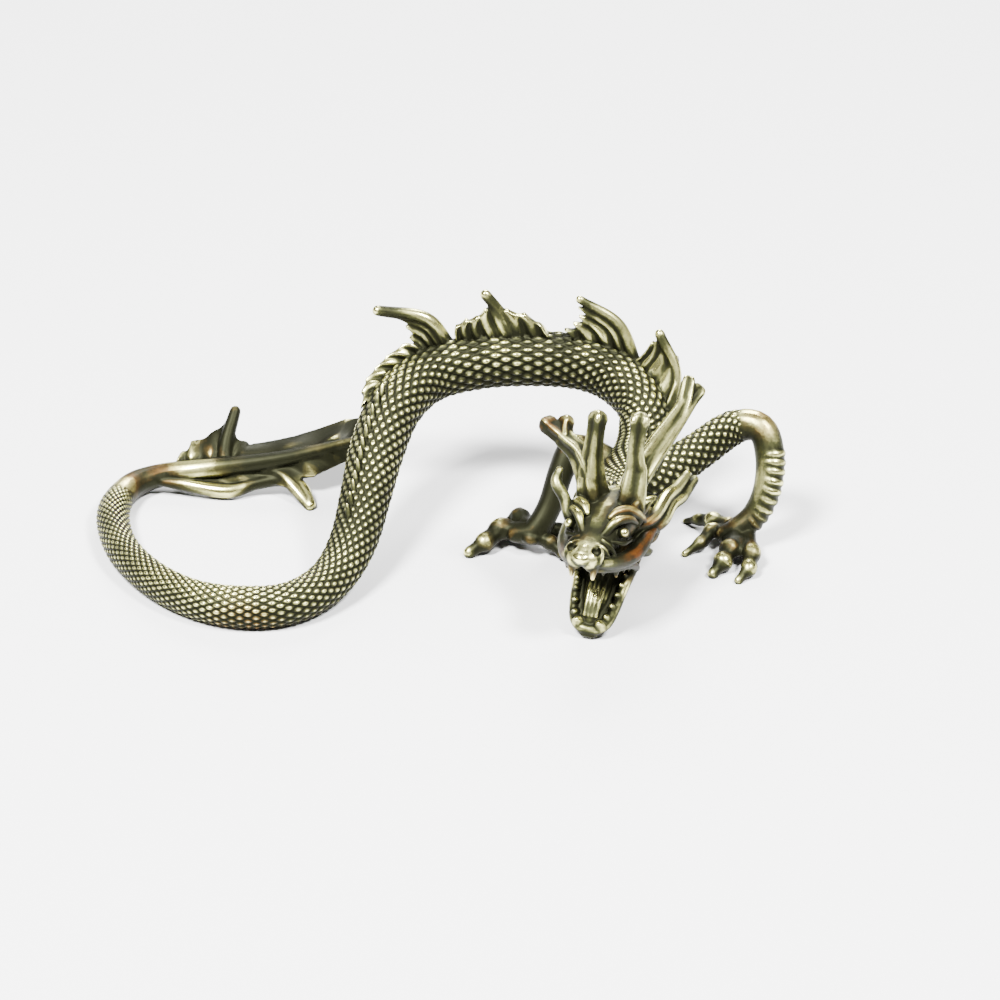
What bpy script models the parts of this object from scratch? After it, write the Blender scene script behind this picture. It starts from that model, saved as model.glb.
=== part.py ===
"""A crawling dragon, cast in one piece of brass, as it stands on a tea table.

The body starts at the fin of the tail, lies on the table in a loop, climbs a leg of scales,
makes an arch with fins along its back and comes down again to the neck. Two forelimbs and
the open mouth reach towards the viewer, who stands at -Y. The origin is the middle of the
footprint, on the table, and the figure is longest along X.
"""

import math

import bmesh
import bpy
import numpy as np
from mathutils import Matrix, Vector

# The figure is a free form, so its pose and carving are shares of its length. The places
# and radii below are in units of UNIT, which is one millimetre at this length.
LENGTH = 0.1045
UNIT = LENGTH / 104.5

# Sizes that a founder sets by themselves.
BODY_GIRTH = 0.0082  # diameter of the body at the arch
SCALE_RELIEF = 0.0006  # height of a scale above the groove beside it
WEB_THICKNESS = 0.0009  # skin of a fin between its rays
FOOT_FLAT = 0.00035  # filed off below, so that the casting stands without rocking

SCALES_ROUND = 8  # scales in one ring of the body
BODY_SIDES = 2 * SCALES_ROUND
SCALE_LENGTH = 0.78  # from one ring of scales to the next, as a share of a scale's width
BARE_STEP = 2.6  # from one ring to the next where the tail bears no scales
FINE_STEPS = 12  # steps of the smooth curve between two given points
SPINE_STEPS = 400  # steps in which the whole spine is read
LIMB_SIDES = 10
SEAM_ANGLE = math.radians(8.5)  # faces this near to flat are one face
MIDDLE_SHIFT = Vector((0.3, 0.25, 0.0))  # from the drawing's zero to the middle

BRASS_COLOUR = (0.56, 0.46, 0.22, 1.0)
BRASS_ROUGHNESS = 0.3

UP = Vector((0, 0, 1))

# The line of the body from the end of the tail to the neck: x, y, z, radius, and the
# direction in which the back faces.
SPINE = [
    (-12.5, 22.5, 8.0, 0.8, 0.0, 0.2, 1.0),
    (-25.0, 19.8, 6.0, 1.3, 0.0, 0.2, 1.0),
    (-38.0, 19.8, 4.0, 1.7, 0.0, 0.2, 1.0),
    (-44.2, 20.0, 2.9, 1.9, 0.0, 0.0, 1.0),
    (-48.6, 16.9, 2.5, 2.2, 0.0, 0.0, 1.0),
    (-50.5, 9.0, 2.5, 2.5, 0.0, 0.0, 1.0),
    (-48.0, -1.6, 2.6, 2.5, 0.0, 0.0, 1.0),
    (-42.6, -10.5, 2.7, 2.6, 0.0, 0.0, 1.0),
    (-36.0, -16.6, 2.9, 2.8, 0.0, 0.0, 1.0),
    (-28.9, -19.3, 3.1, 3.1, 0.0, 0.0, 1.0),
    (-21.7, -18.4, 3.2, 3.1, 0.0, 0.0, 1.0),
    (-16.2, -13.4, 4.0, 3.2, -0.2, -0.2, 1.0),
    (-12.9, -6.8, 6.6, 3.5, -0.4, -0.4, 0.9),
    (-11.1, 0.6, 10.7, 3.8, -0.4, -0.4, 0.9),
    (-9.6, 7.3, 14.5, 4.1, -0.4, -0.4, 0.9),
    (-7.0, 14.4, 18.2, 4.2, -0.4, -0.3, 0.9),
    (-2.2, 20.2, 20.4, 4.2, -0.2, 0.0, 1.0),
    (5.0, 22.4, 21.6, 4.2, 0.0, 0.1, 1.0),
    (13.0, 22.9, 22.0, 4.2, 0.0, 0.1, 1.0),
    (21.0, 23.0, 21.4, 4.2, 0.1, 0.1, 1.0),
    (26.8, 21.2, 19.8, 4.1, 0.5, 0.2, 0.9),
    (30.9, 16.5, 17.0, 3.9, 0.8, 0.1, 0.6),
    (30.6, 11.2, 13.4, 3.8, 0.7, 0.1, 0.7),
    (28.4, 5.9, 11.6, 3.7, 0.3, 0.0, 1.0),
    (26.5, 0.1, 12.0, 3.6, 0.0, 0.0, 1.0),
    (25.6, -6.1, 13.5, 3.5, 0.0, 0.3, 1.0),
    (25.2, -9.5, 14.6, 3.6, 0.0, 0.3, 1.0),
]
GIRTH_AS_DRAWN = 8.4
GIRTH = BODY_GIRTH / UNIT / GIRTH_AS_DRAWN  # the body's radii against those drawn above
ROOT_DEPTH = 0.8  # where a fin's ray starts, as a share of the body's radius
SMOOTH_TAIL_END = 0.17  # share of the spine, from the tail's end, that bears no scales

# The rays of each fin, as the root, the bend and the tip of a ray.
FINS = {
    "fringe of the leg": [
        [(-10.6, 14.0, 19.0), (-11.4, 13.6, 19.2), (-12.3, 12.6, 18.6)],
        [(-9.4, 16.5, 20.5), (-10.8, 16.0, 20.9), (-12.2, 14.8, 20.3)],
        [(-8.0, 18.6, 21.6), (-9.8, 17.9, 22.0), (-11.6, 16.8, 21.5)],
        [(-6.2, 20.2, 22.4), (-8.2, 19.4, 23.2), (-10.2, 18.4, 22.7)],
        [(-4.4, 21.2, 23.2), (-6.4, 20.6, 24.2), (-8.6, 19.8, 23.9)],
        [(-2.9, 21.9, 23.9), (-4.2, 21.6, 25.1), (-6.0, 21.4, 25.2)],
    ],
    "first fin": [
        [(-2.6, 22.4, 24.0), (-3.6, 22.4, 25.6), (-5.2, 22.4, 26.3)],
        [(-1.8, 22.4, 24.4), (-3.4, 22.4, 26.6), (-6.4, 22.6, 28.1)],
        [(0.6, 22.6, 24.6), (-2.6, 22.8, 29.0), (-10.2, 22.8, 30.6)],
    ],
    "second fin": [
        [(3.2, 22.8, 24.6), (2.4, 22.8, 27.2), (2.8, 22.8, 28.9)],
        [(6.6, 22.9, 25.5), (5.4, 22.9, 27.8), (5.3, 22.9, 29.5)],
        [(10.4, 23.0, 25.6), (8.5, 23.0, 29.4), (6.5, 23.0, 33.4)],
        [(13.4, 23.0, 25.8), (12.2, 23.0, 28.4), (11.6, 23.0, 30.2)],
        [(16.9, 23.0, 25.6), (15.7, 23.0, 28.0), (14.6, 23.0, 29.2)],
    ],
    "third fin": [
        [(20.2, 23.2, 25.2), (19.2, 23.2, 27.0), (18.4, 23.2, 28.0)],
        [(23.4, 23.2, 25.0), (21.9, 23.2, 27.2), (20.0, 23.2, 28.6)],
        [(26.4, 22.8, 24.2), (24.6, 23.0, 27.6), (21.0, 23.2, 30.2)],
        [(30.0, 22.2, 22.4), (27.4, 22.8, 28.0), (20.9, 23.2, 32.2)],
    ],
    "fourth fin": [
        [(29.4, 21.2, 21.6), (31.4, 21.0, 24.2), (32.6, 20.8, 26.4)],
        [(31.6, 19.2, 20.4), (33.8, 19.8, 24.0), (34.2, 20.2, 27.0)],
        [(32.6, 16.8, 18.2), (35.2, 17.8, 21.4), (36.2, 18.8, 24.6)],
        [(33.0, 14.4, 15.8), (35.2, 15.2, 18.2), (36.2, 16.4, 20.8)],
    ],
    "back of the tail fin": [
        [(-42.0, 20.4, 3.4), (-41.6, 21.8, 4.4), (-41.0, 22.9, 5.3)],
        [(-39.0, 20.0, 3.8), (-39.4, 22.2, 5.0), (-39.5, 24.4, 6.4)],
        [(-36.0, 19.8, 4.2), (-36.2, 22.0, 5.6), (-36.7, 24.9, 7.2)],
        [(-34.2, 19.8, 4.4), (-33.9, 23.0, 7.0), (-32.6, 27.2, 11.0)],
        [(-32.0, 19.8, 4.8), (-31.0, 21.8, 5.6), (-30.4, 23.6, 6.1)],
        [(-24.0, 20.0, 6.0), (-23.6, 22.2, 6.4), (-23.2, 24.9, 6.9)],
        [(-16.6, 21.6, 7.4), (-16.0, 24.0, 7.8), (-15.4, 26.8, 8.9)],
        [(-13.4, 22.4, 7.9), (-12.8, 24.4, 8.4), (-12.0, 26.8, 9.4)],
    ],
    "front of the tail fin": [
        [(-42.6, 20.2, 3.2), (-41.0, 19.2, 2.4), (-39.6, 18.8, 1.9)],
        [(-40.0, 20.0, 3.4), (-37.2, 18.6, 2.0), (-34.4, 17.6, 0.9)],
        [(-33.6, 19.8, 4.4), (-31.4, 18.8, 2.9), (-29.6, 18.3, 2.3)],
        [(-27.6, 19.8, 5.4), (-24.4, 18.2, 3.3), (-21.4, 15.2, 1.3)],
        [(-22.4, 20.2, 6.2), (-20.8, 19.4, 4.6), (-19.4, 18.8, 3.8)],
        [(-17.6, 21.2, 7.0), (-16.6, 20.6, 5.8), (-15.6, 20.2, 5.0)],
        [(-13.4, 22.4, 7.9), (-12.8, 21.6, 6.8), (-12.0, 21.0, 6.2)],
    ],
}
RAY_ROOT, RAY_BEND, RAY_TIP = 0.75, 0.65, 0.35  # half thicknesses along a ray
WEB_REACH = 0.82  # share of its rays that the skin between them reaches
WEB_STEPS = 3
LONG_RAY = 1.3  # the skin beside a long ray reaches this many times the short one's length

# The long rounded lobes and edges that stand out of the fins.
LOBES = {
    "upright lobe of the tail fin": [
        (-34.6, 19.9, 4.2, 1.4), (-33.9, 23.0, 7.0, 1.2), (-32.6, 26.8, 10.7, 1.0),
    ],
    "small front lobe": [(-41.2, 20.0, 3.0, 1.3), (-37.4, 18.6, 2.0, 0.9), (-34.1, 17.4, 0.7, 0.7)],
    "large front lobe": [(-29.6, 19.4, 5.0, 1.3), (-25.0, 18.6, 3.6, 1.0), (-20.5, 14.0, 0.7, 0.8)],
    "edge of the first fin": [(1.2, 22.6, 23.4, 1.0), (-2.4, 22.8, 29.0, 0.9), (-9.8, 22.8, 30.4, 0.7)],
    "edge of the second fin": [(11.4, 23.0, 24.4, 1.0), (9.2, 23.0, 29.6, 0.9), (6.8, 23.0, 33.0, 0.9)],
    "edge of the third fin": [
        (30.4, 22.0, 21.4, 0.9), (27.2, 22.8, 27.9, 0.8), (21.2, 23.2, 32.1, 0.5),
    ],
    "edge of the fourth fin": [
        (32.8, 14.2, 15.4, 0.9), (36.0, 17.6, 22.0, 0.8), (33.4, 20.4, 27.5, 0.8),
    ],
}

# Small spines in a row up the leg, as shares of the spine's length and their heights.
SPINES_FROM, SPINES_TO, SPINES = 0.465, 0.575, 7
SPINE_HEIGHT, SPINE_RADIUS = 1.5, 0.75

# Limbs as x, y, z and radius, from the shoulder to the palm.
RIGHT_ARM = [
    (29.6, 3.6, 11.2, 2.4),
    (33.0, 4.8, 11.3, 3.0),
    (38.8, 7.9, 13.8, 2.8),
    (44.4, 10.2, 16.8, 2.6),
    (48.4, 9.0, 17.4, 2.3),
    (50.1, 6.9, 14.0, 2.0),
    (49.7, 4.4, 9.6, 1.8),
    (47.8, 3.2, 5.6, 1.7),
    (44.6, 2.1, 3.3, 1.9),
    (42.4, 2.0, 2.9, 1.2),
]
LEFT_ARM = [
    (25.6, 8.2, 12.0, 2.2),
    (22.8, 9.4, 12.6, 2.5),
    (20.0, 8.4, 14.0, 2.2),
    (18.2, 6.2, 11.2, 2.0),
    (16.5, 3.6, 6.8, 1.9),
    (14.2, 1.6, 3.7, 1.9),
    (11.4, 1.8, 3.0, 1.4),
]
DIGITS = {
    "right thumb": [
        (44.0, 3.8, 3.2, 1.5), (41.5, 6.8, 2.4, 1.5), (39.4, 8.4, 1.7, 1.0),
        (37.6, 9.6, 0.7, 0.5),
    ],
    "right first": [
        (43.6, 2.8, 3.0, 1.4), (41.2, 3.2, 2.8, 1.3), (39.4, 1.3, 1.7, 1.1),
        (37.0, -0.2, 0.7, 0.6),
    ],
    "right second": [
        (44.6, 0.6, 3.0, 1.5), (43.6, -2.2, 2.7, 1.5), (42.4, -4.6, 1.8, 1.3),
        (40.8, -6.4, 0.8, 0.8),
    ],
    "right third": [
        (46.4, 1.4, 3.2, 1.4), (46.8, -3.2, 2.6, 1.5), (46.2, -6.2, 1.7, 1.3),
        (44.6, -8.0, 0.7, 0.7),
    ],
    "left first": [
        (12.8, 1.9, 3.2, 1.6), (9.0, 3.6, 2.9, 1.5), (6.4, 0.8, 2.0, 1.4),
        (4.2, -0.4, 0.9, 0.9),
    ],
    "left second": [
        (13.2, 2.6, 3.6, 1.4), (12.0, 6.2, 3.0, 1.5), (9.6, 5.6, 1.9, 1.2),
        (7.8, 4.6, 0.9, 0.7),
    ],
    "left third": [
        (14.4, 1.0, 3.2, 1.4), (16.6, 0.0, 2.6, 1.3), (18.6, -1.6, 1.7, 1.1),
        (20.0, -3.0, 0.8, 0.7),
    ],
    "left thumb": [
        (15.0, 2.4, 3.6, 1.4), (18.0, 3.4, 2.7, 1.3), (20.0, 3.2, 1.6, 1.0),
        (21.4, 2.2, 0.8, 0.6),
    ],
}
DIGIT_NECK = 0.78  # how far a digit draws in between its knuckles
FOREARM_PLATES = 6
PLATE_RADIUS, PLATE_WRAP, PLATE_SUNK = 0.75, 1.0, 0.35

# The head has its own axes, with their zero at the hinge of the jaw.
HINGE = Vector((25.1, -14.2, 10.8))
AHEAD = Vector((-0.33, -0.908, 0.259)).normalized()
LEFT_SIDE = Vector((0.94, -0.342, 0.0)).normalized()
CROWN = AHEAD.cross(LEFT_SIDE).normalized()
# Rows of the skull and upper jaw: ahead, height of the middle, half width, half height.
SKULL = [
    (-6.6, 4.4, 3.5, 3.5),
    (-3.0, 4.7, 3.9, 3.8),
    (0.6, 4.7, 4.6, 3.9),
    (3.6, 4.4, 4.8, 3.7),
    (6.4, 3.7, 4.3, 3.1),
    (8.8, 2.8, 3.4, 2.5),
    (11.0, 2.2, 2.9, 2.1),
    (12.8, 1.9, 2.8, 2.0),
    (14.0, 1.7, 1.9, 1.4),
]
# Rows of the lower jaw: ahead, height, half width and half thickness.
LOWER_JAW = [
    (-2.6, 2.6, 3.9, 2.4),
    (0.4, -0.6, 4.0, 1.5),
    (2.2, -3.6, 3.7, 1.0),
    (4.1, -6.6, 3.3, 0.9),
    (5.8, -9.4, 3.0, 1.0),
    (6.4, -10.6, 2.4, 0.8),
]
JAW_FACING = (0.85, 0.525)  # the inner side of the lower jaw faces ahead and up
TONGUE = [(1.6, 0.2, -1.6, 1.2), (3.5, 0.2, -3.6, 1.2), (5.3, 0.2, -6.4, 1.1), (6.5, 0.2, -8.8, 0.8)]
# Places on the head: ahead, to its left, and up, with a radius where a tube runs there.
BROW = [(3.4, 4.8, 5.4, 0.6), (6.2, 4.7, 6.1, 0.8), (8.2, 3.5, 5.6, 0.9), (9.2, 2.0, 4.4, 0.7)]
UPPER_BROW = [(2.2, 4.2, 7.0, 0.6), (5.2, 4.0, 7.4, 0.8), (7.4, 2.2, 6.4, 0.5)]
CHEEK = [
    (0.0, 4.8, 2.8, 1.2), (3.2, 5.0, 1.7, 1.4), (6.4, 4.2, 1.3, 1.2),
    (9.4, 3.0, 1.1, 1.0), (12.0, 2.4, 0.8, 0.8),
]
LIP_RIM = [
    (-0.6, 4.0, 0.2, 0.8), (2.7, 3.6, -3.2, 0.7), (4.7, 3.1, -6.4, 0.7),
    (6.6, 2.2, -9.4, 0.7), (7.1, 0.0, -10.4, 0.7),
]
EAR = [(1.6, 4.8, 4.6, 1.1), (-0.6, 6.0, 5.8, 0.9), (-2.6, 6.7, 7.2, 0.4)]
CHEEK_SPIKES = [
    [(0.0, 4.6, 3.0, 1.1), (-2.0, 5.7, 3.0, 0.8), (-4.2, 6.2, 3.6, 0.3)],
    [(-0.6, 4.2, 1.2, 1.1), (-2.4, 5.2, 0.6, 0.8), (-4.6, 5.6, 0.6, 0.3)],
]
EYE, EYE_RADIUS = (7.6, 4.2, 4.5), 1.15
NOSTRIL, NOSTRIL_RADIUS = (13.0, 1.75, 2.7), 1.35
NOSE_HOLE, NOSE_HOLE_RADIUS = (14.1, 2.1, 3.1), 0.55
# Teeth: ahead, left, up, length.
UPPER_TEETH = [(12.9, 1.7, 0.4, 2.0), (11.0, 2.6, 0.6, 1.4), (8.2, 3.3, 0.4, 1.9), (5.6, 4.2, 0.2, 1.4)]
LOWER_TEETH = [
    (6.9, 1.3, -10.0, 1.6), (6.2, 2.4, -8.4, 1.6), (5.0, 2.9, -6.4, 1.3),
    (3.8, 3.2, -4.4, 1.2),
]
TOOTH_RADIUS, TOOTH_SUNK = 0.62, 0.9

ANTLERS = {
    "right stem": [(22.9, -14.4, 16.6, 2.4), (22.2, -13.9, 20.2, 2.1), (21.6, -12.2, 23.4, 1.9)],
    "right low tine": [
        (21.8, -12.6, 22.6, 1.8), (20.0, -9.8, 24.4, 1.5), (17.4, -6.8, 25.4, 1.6),
        (16.3, -5.6, 25.9, 1.9),
    ],
    "right high tine": [(21.7, -12.8, 22.4, 1.8), (22.6, -11.6, 26.0, 1.3), (23.1, -10.4, 29.4, 1.1)],
    "left stem": [(27.6, -15.8, 16.6, 2.4), (28.2, -14.6, 20.4, 2.0), (28.6, -13.2, 23.0, 1.7)],
    "left high tine": [(28.5, -13.4, 22.4, 1.7), (28.5, -12.6, 26.2, 1.3), (28.9, -11.8, 29.6, 1.5)],
    "left low tine": [
        (28.3, -13.6, 21.4, 1.9), (31.2, -9.2, 23.2, 2.0), (34.6, -3.4, 25.2, 1.7),
        (37.8, 1.6, 27.4, 1.3),
    ],
    "left prong": [(34.2, -4.0, 25.0, 1.5), (36.4, 0.0, 26.8, 1.2), (36.9, 2.4, 29.0, 0.9)],
}
WHISKERS = {
    "left upper": [
        (29.6, -17.6, 15.0, 0.9), (32.0, -13.6, 15.2, 0.7), (33.6, -8.2, 15.6, 0.8),
        (36.0, -3.4, 15.2, 0.7), (38.0, 1.6, 15.6, 0.6), (38.6, 4.4, 15.4, 0.5),
    ],
    "left lower": [
        (29.8, -17.4, 13.8, 0.9), (32.6, -13.6, 13.6, 0.8), (34.6, -9.0, 14.4, 0.7),
        (36.4, -4.4, 13.4, 0.8), (38.6, 0.4, 14.0, 0.6), (39.6, 3.6, 14.2, 0.5),
    ],
    "right": [
        (20.6, -20.4, 15.4, 0.9), (19.0, -17.6, 17.4, 0.8), (18.4, -14.6, 18.6, 0.9),
        (17.0, -11.6, 20.6, 0.8), (17.6, -9.4, 22.6, 0.6),
    ],
}


def smooth_curve(rows, count):
    """The rows' smooth curve, read again at even steps of its length."""
    rows = np.array(rows, float)
    ends = np.vstack([2 * rows[0] - rows[1], rows, 2 * rows[-1] - rows[-2]])
    fine = []
    for before, here, after, beyond in zip(ends, ends[1:], ends[2:], ends[3:]):
        for t in np.linspace(0, 1, FINE_STEPS, endpoint=False):
            line = 2 * here + (after - before) * t
            square = (2 * before - 5 * here + 4 * after - beyond) * t**2
            cube = (3 * here - before - 3 * after + beyond) * t**3
            fine.append((line + square + cube) / 2)
    fine = np.array([*fine, rows[-1]])
    run = np.concatenate([[0], np.cumsum(np.linalg.norm(np.diff(fine[:, :3], axis=0), axis=1))])
    wanted = np.linspace(0, run[-1], count)
    return np.column_stack([np.interp(wanted, run, column) for column in fine.T])


def metres(point):
    """A place of the drawing, in metres from the middle of the footprint."""
    return (Vector(point) + MIDDLE_SHIFT) * UNIT - UP * FOOT_FLAT


def ring_places(rows, facing=None):
    """A matrix for each row, with its columns along the ring's width, its height and the
    tube, scaled by the row's radius or by its two half widths."""
    centres = [Vector(row[:3]) for row in rows]
    places = []
    across = None
    for i, row in enumerate(rows):
        along = (centres[min(i + 1, len(rows) - 1)] - centres[max(i - 1, 0)]).normalized()
        if facing is not None:
            across = Vector(facing[i]).cross(along).normalized()
        elif across is None:
            across = along.orthogonal().normalized()
        else:
            across = (across - along * across.dot(along)).normalized()
        up = along.cross(across)
        wide, high = row[3], row[4] if len(row) > 4 else row[3]
        columns = [across * wide * UNIT, up * high * UNIT, along * UNIT]
        turned = Matrix([[*c, 0] for c in columns] + [[0, 0, 0, 1]]).transposed()
        places.append(Matrix.Translation(metres(centres[i])) @ turned)
    return places


def circle(sides):
    turns = [2 * math.pi * i / sides for i in range(sides)]
    return [Vector((math.cos(turn), math.sin(turn), 0)) for turn in turns]


def loft(places, outline):
    """A closed tube through the placed outlines, made by extruding its first end. It comes
    with its rings of points."""
    bm = bmesh.new()
    bmesh.ops.create_circle(bm, cap_ends=True, segments=len(outline), radius=1)
    end = bm.faces[:][0]
    rings = []
    for i, place in enumerate(places):
        if i > 0:
            grown = bmesh.ops.extrude_face_region(bm, geom=[end])["geom"]
            if i > 1:
                bm.faces.remove(end)
            end = next(item for item in grown if isinstance(item, bmesh.types.BMFace))
        for vert, point in zip(end.verts, outline):
            vert.co = place @ point
        rings.append(list(end.verts))
    bmesh.ops.recalc_face_normals(bm, faces=bm.faces)
    return bm, rings


def rounded_ends(rows, roundness=0.5):
    """The rows with a smaller ring beyond each end, so that a tube ends in a dome."""
    first, second = np.array(rows[0]), np.array(rows[1])
    last, inner = np.array(rows[-1]), np.array(rows[-2])

    def dome(end, inside):
        out = end[:3] - inside[:3]
        out = out / np.linalg.norm(out) * end[3]
        ring = end.copy()
        ring[:3] += out * 0.7
        ring[3:] *= roundness
        return ring

    return [dome(first, second), *rows, dome(last, inner)]


def tube(rows, count, sides, facing=None):
    """A smooth tube through the rows, domed at both ends."""
    rings = rounded_ends(smooth_curve(rows, count))
    bm, _ = loft(ring_places(rings, facing), circle(sides))
    return bm


def ball(centre, radius, rings=6, sides=8):
    bm = bmesh.new()
    place = Matrix.Translation(metres(centre))
    bmesh.ops.create_uvsphere(bm, u_segments=sides, v_segments=rings, radius=radius * UNIT, matrix=place)
    return bm


def cone(root, tip, radius, sides=6):
    """A pointed form with its foot sunk at the root."""
    root, tip = metres(root), metres(tip)
    axis = tip - root
    bm = bmesh.new()
    place = Matrix.Translation((root + tip) / 2) @ axis.to_track_quat("Z", "Y").to_matrix().to_4x4()
    bmesh.ops.create_cone(
        bm, cap_ends=True, segments=sides, radius1=radius * UNIT,
        radius2=0.12 * radius * UNIT, depth=axis.length, matrix=place,
    )
    return bm


def on_head(ahead, left, up):
    return HINGE + AHEAD * ahead + LEFT_SIDE * left + CROWN * up


def head_rows(rows, side=1):
    """Rows of places on the head as rows of the drawing, on its left or its right side."""
    return [(*on_head(ahead, side * left, up), radius) for ahead, left, up, radius in rows]


def body_form():
    """The body with its scales: every second point of a ring stands out, staggered from
    ring to ring, and the grooves between run from low point to low point."""
    fine = smooth_curve(SPINE, SPINE_STEPS)
    run = np.concatenate([[0], np.cumsum(np.linalg.norm(np.diff(fine[:, :3], axis=0), axis=1))])
    bare_end = SMOOTH_TAIL_END * run[-1]
    stops = [0.0]
    while stops[-1] < run[-1]:
        width = 2 * math.pi * np.interp(stops[-1], run, fine[:, 3]) / SCALES_ROUND
        stops.append(stops[-1] + (BARE_STEP if stops[-1] < bare_end else SCALE_LENGTH * width))
    stops = np.array(stops) * run[-1] / stops[-1]
    rows = np.column_stack([np.interp(stops, run, column) for column in fine.T])
    rows[:, 3] *= GIRTH
    places = ring_places([row[:4] for row in rows], [row[4:7] for row in rows])
    bm, rings = loft(places, circle(BODY_SIDES))
    low = []
    for i, ring in enumerate(rings[:-1]):
        if stops[i] < bare_end:
            continue
        relief = SCALE_RELIEF * rows[i, 3] / rows[:, 3].max() / 2
        for j, vert in enumerate(ring):
            stands_out = (i + j) % 2 == 0
            outwards = (vert.co - places[i].translation).normalized()
            vert.co += outwards * (relief if stands_out else -relief)
        low += ring[1 - i % 2 :: 2]
    bmesh.ops.connect_verts(bm, verts=low)
    return bm


def spine_at(share):
    """The spine's place, radius and back direction at a share of its length."""
    row = smooth_curve(SPINE, SPINE_STEPS)[round(share * (SPINE_STEPS - 1))]
    return Vector(row[:3]), row[3] * GIRTH, Vector(row[4:7]).normalized()


def rooted(point):
    """The point moved in or out from the spine, so that what grows there starts under the
    skin of the body."""
    spine = smooth_curve(SPINE, SPINE_STEPS)
    nearest = spine[np.linalg.norm(spine[:, :3] - np.array(point), axis=1).argmin()]
    centre = Vector(nearest[:3])
    return centre + (Vector(point) - centre).normalized() * nearest[3] * GIRTH * ROOT_DEPTH


def leg_spines():
    for i in range(SPINES):
        share = SPINES_FROM + (SPINES_TO - SPINES_FROM) * i / (SPINES - 1)
        centre, radius, back = spine_at(share)
        ahead = (spine_at(share + 0.01)[0] - centre).normalized()
        back = (back - ahead * back.dot(ahead)).normalized()
        root = centre + back * (radius - 0.5)
        tip = centre + back * (radius + SPINE_HEIGHT) + ahead * 0.6
        yield cone(root, tip, SPINE_RADIUS, 5)


def between(one, two):
    """The line of skin halfway between two rays."""
    lengths = [np.linalg.norm(ray[-1, :3] - ray[0, :3]) for ray in (one, two)]
    steps = np.arange(WEB_STEPS + 1)
    line = np.zeros((WEB_STEPS + 1, 4))
    for ray, length in zip((one, two), lengths):
        share = WEB_REACH * min(1, LONG_RAY * min(lengths) / length)
        line += np.column_stack([np.interp(steps * share, steps, column) for column in ray.T]) / 2
    line[:, 3] = WEB_THICKNESS / UNIT / 2
    return line


def fin_form(rays):
    """A fin: a fluted sheet, thick along its rays and thin between them."""
    thick = (RAY_ROOT, RAY_BEND, RAY_TIP)
    rays = [[rooted(ray[0]), *ray[1:]] for ray in rays]
    rays = [[(*point, half) for point, half in zip(ray, thick)] for ray in rays]
    rays = [smooth_curve(ray, WEB_STEPS + 1) for ray in rays]
    lines = [rays[0]]
    for one, two in zip(rays, rays[1:]):
        lines += [between(one, two), two]
    lines = np.array(lines)
    along = np.gradient(lines[:, :, :3], axis=1)
    across = np.gradient(lines[:, :, :3], axis=0)
    facing = np.cross(along, across)
    facing /= np.linalg.norm(facing, axis=2)[:, :, None]

    bm = bmesh.new()
    bmesh.ops.create_grid(bm, x_segments=len(lines) - 1, y_segments=WEB_STEPS, size=1)
    grown = bmesh.ops.extrude_face_region(bm, geom=bm.faces[:])["geom"]
    far_side = {item for item in grown if isinstance(item, bmesh.types.BMVert)}
    for vert in bm.verts:
        line = round((vert.co.x + 1) / 2 * (len(lines) - 1))
        step = round((vert.co.y + 1) / 2 * WEB_STEPS)
        point = lines[line, step]
        side = 1 if vert in far_side else -1
        vert.co = metres(point[:3] + side * facing[line, step] * point[3])
    bmesh.ops.recalc_face_normals(bm, faces=bm.faces)
    return bm


def lobe_form(root, bend, tip):
    return tube([(*rooted(root[:3]), root[3]), bend, tip], 5, 6)


def arm_forms():
    yield tube(RIGHT_ARM, 16, LIMB_SIDES)
    yield tube(LEFT_ARM, 10, LIMB_SIDES)


def plate_forms(arm, first, last, count, out):
    """Short bars across the outer side of a forearm, like the plates of a belt."""
    for share in np.linspace(first, last, count):
        curve = smooth_curve(arm, 101)
        i = round(share * 100)
        centre, radius = Vector(curve[i][:3]), curve[i][3]
        along = (Vector(curve[i + 1][:3]) - centre).normalized()
        outer = Vector(out)
        outer = (outer - along * outer.dot(along)).normalized()
        side = along.cross(outer)
        rows = []
        for turn in (-PLATE_WRAP, 0, PLATE_WRAP):
            place = centre + (outer * math.cos(turn) + side * math.sin(turn)) * (radius - PLATE_SUNK)
            rows.append((*place, PLATE_RADIUS))
        bm, _ = loft(ring_places(rows), circle(5))
        yield bm


def digit_forms():
    for rows in DIGITS.values():
        knuckled = []
        for one, two in zip(rows, rows[1:]):
            middle = [(a + b) / 2 for a, b in zip(one, two)]
            middle[3] *= DIGIT_NECK
            knuckled += [one, middle]
        yield tube([*knuckled, rows[-1]], 7, 6)


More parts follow.
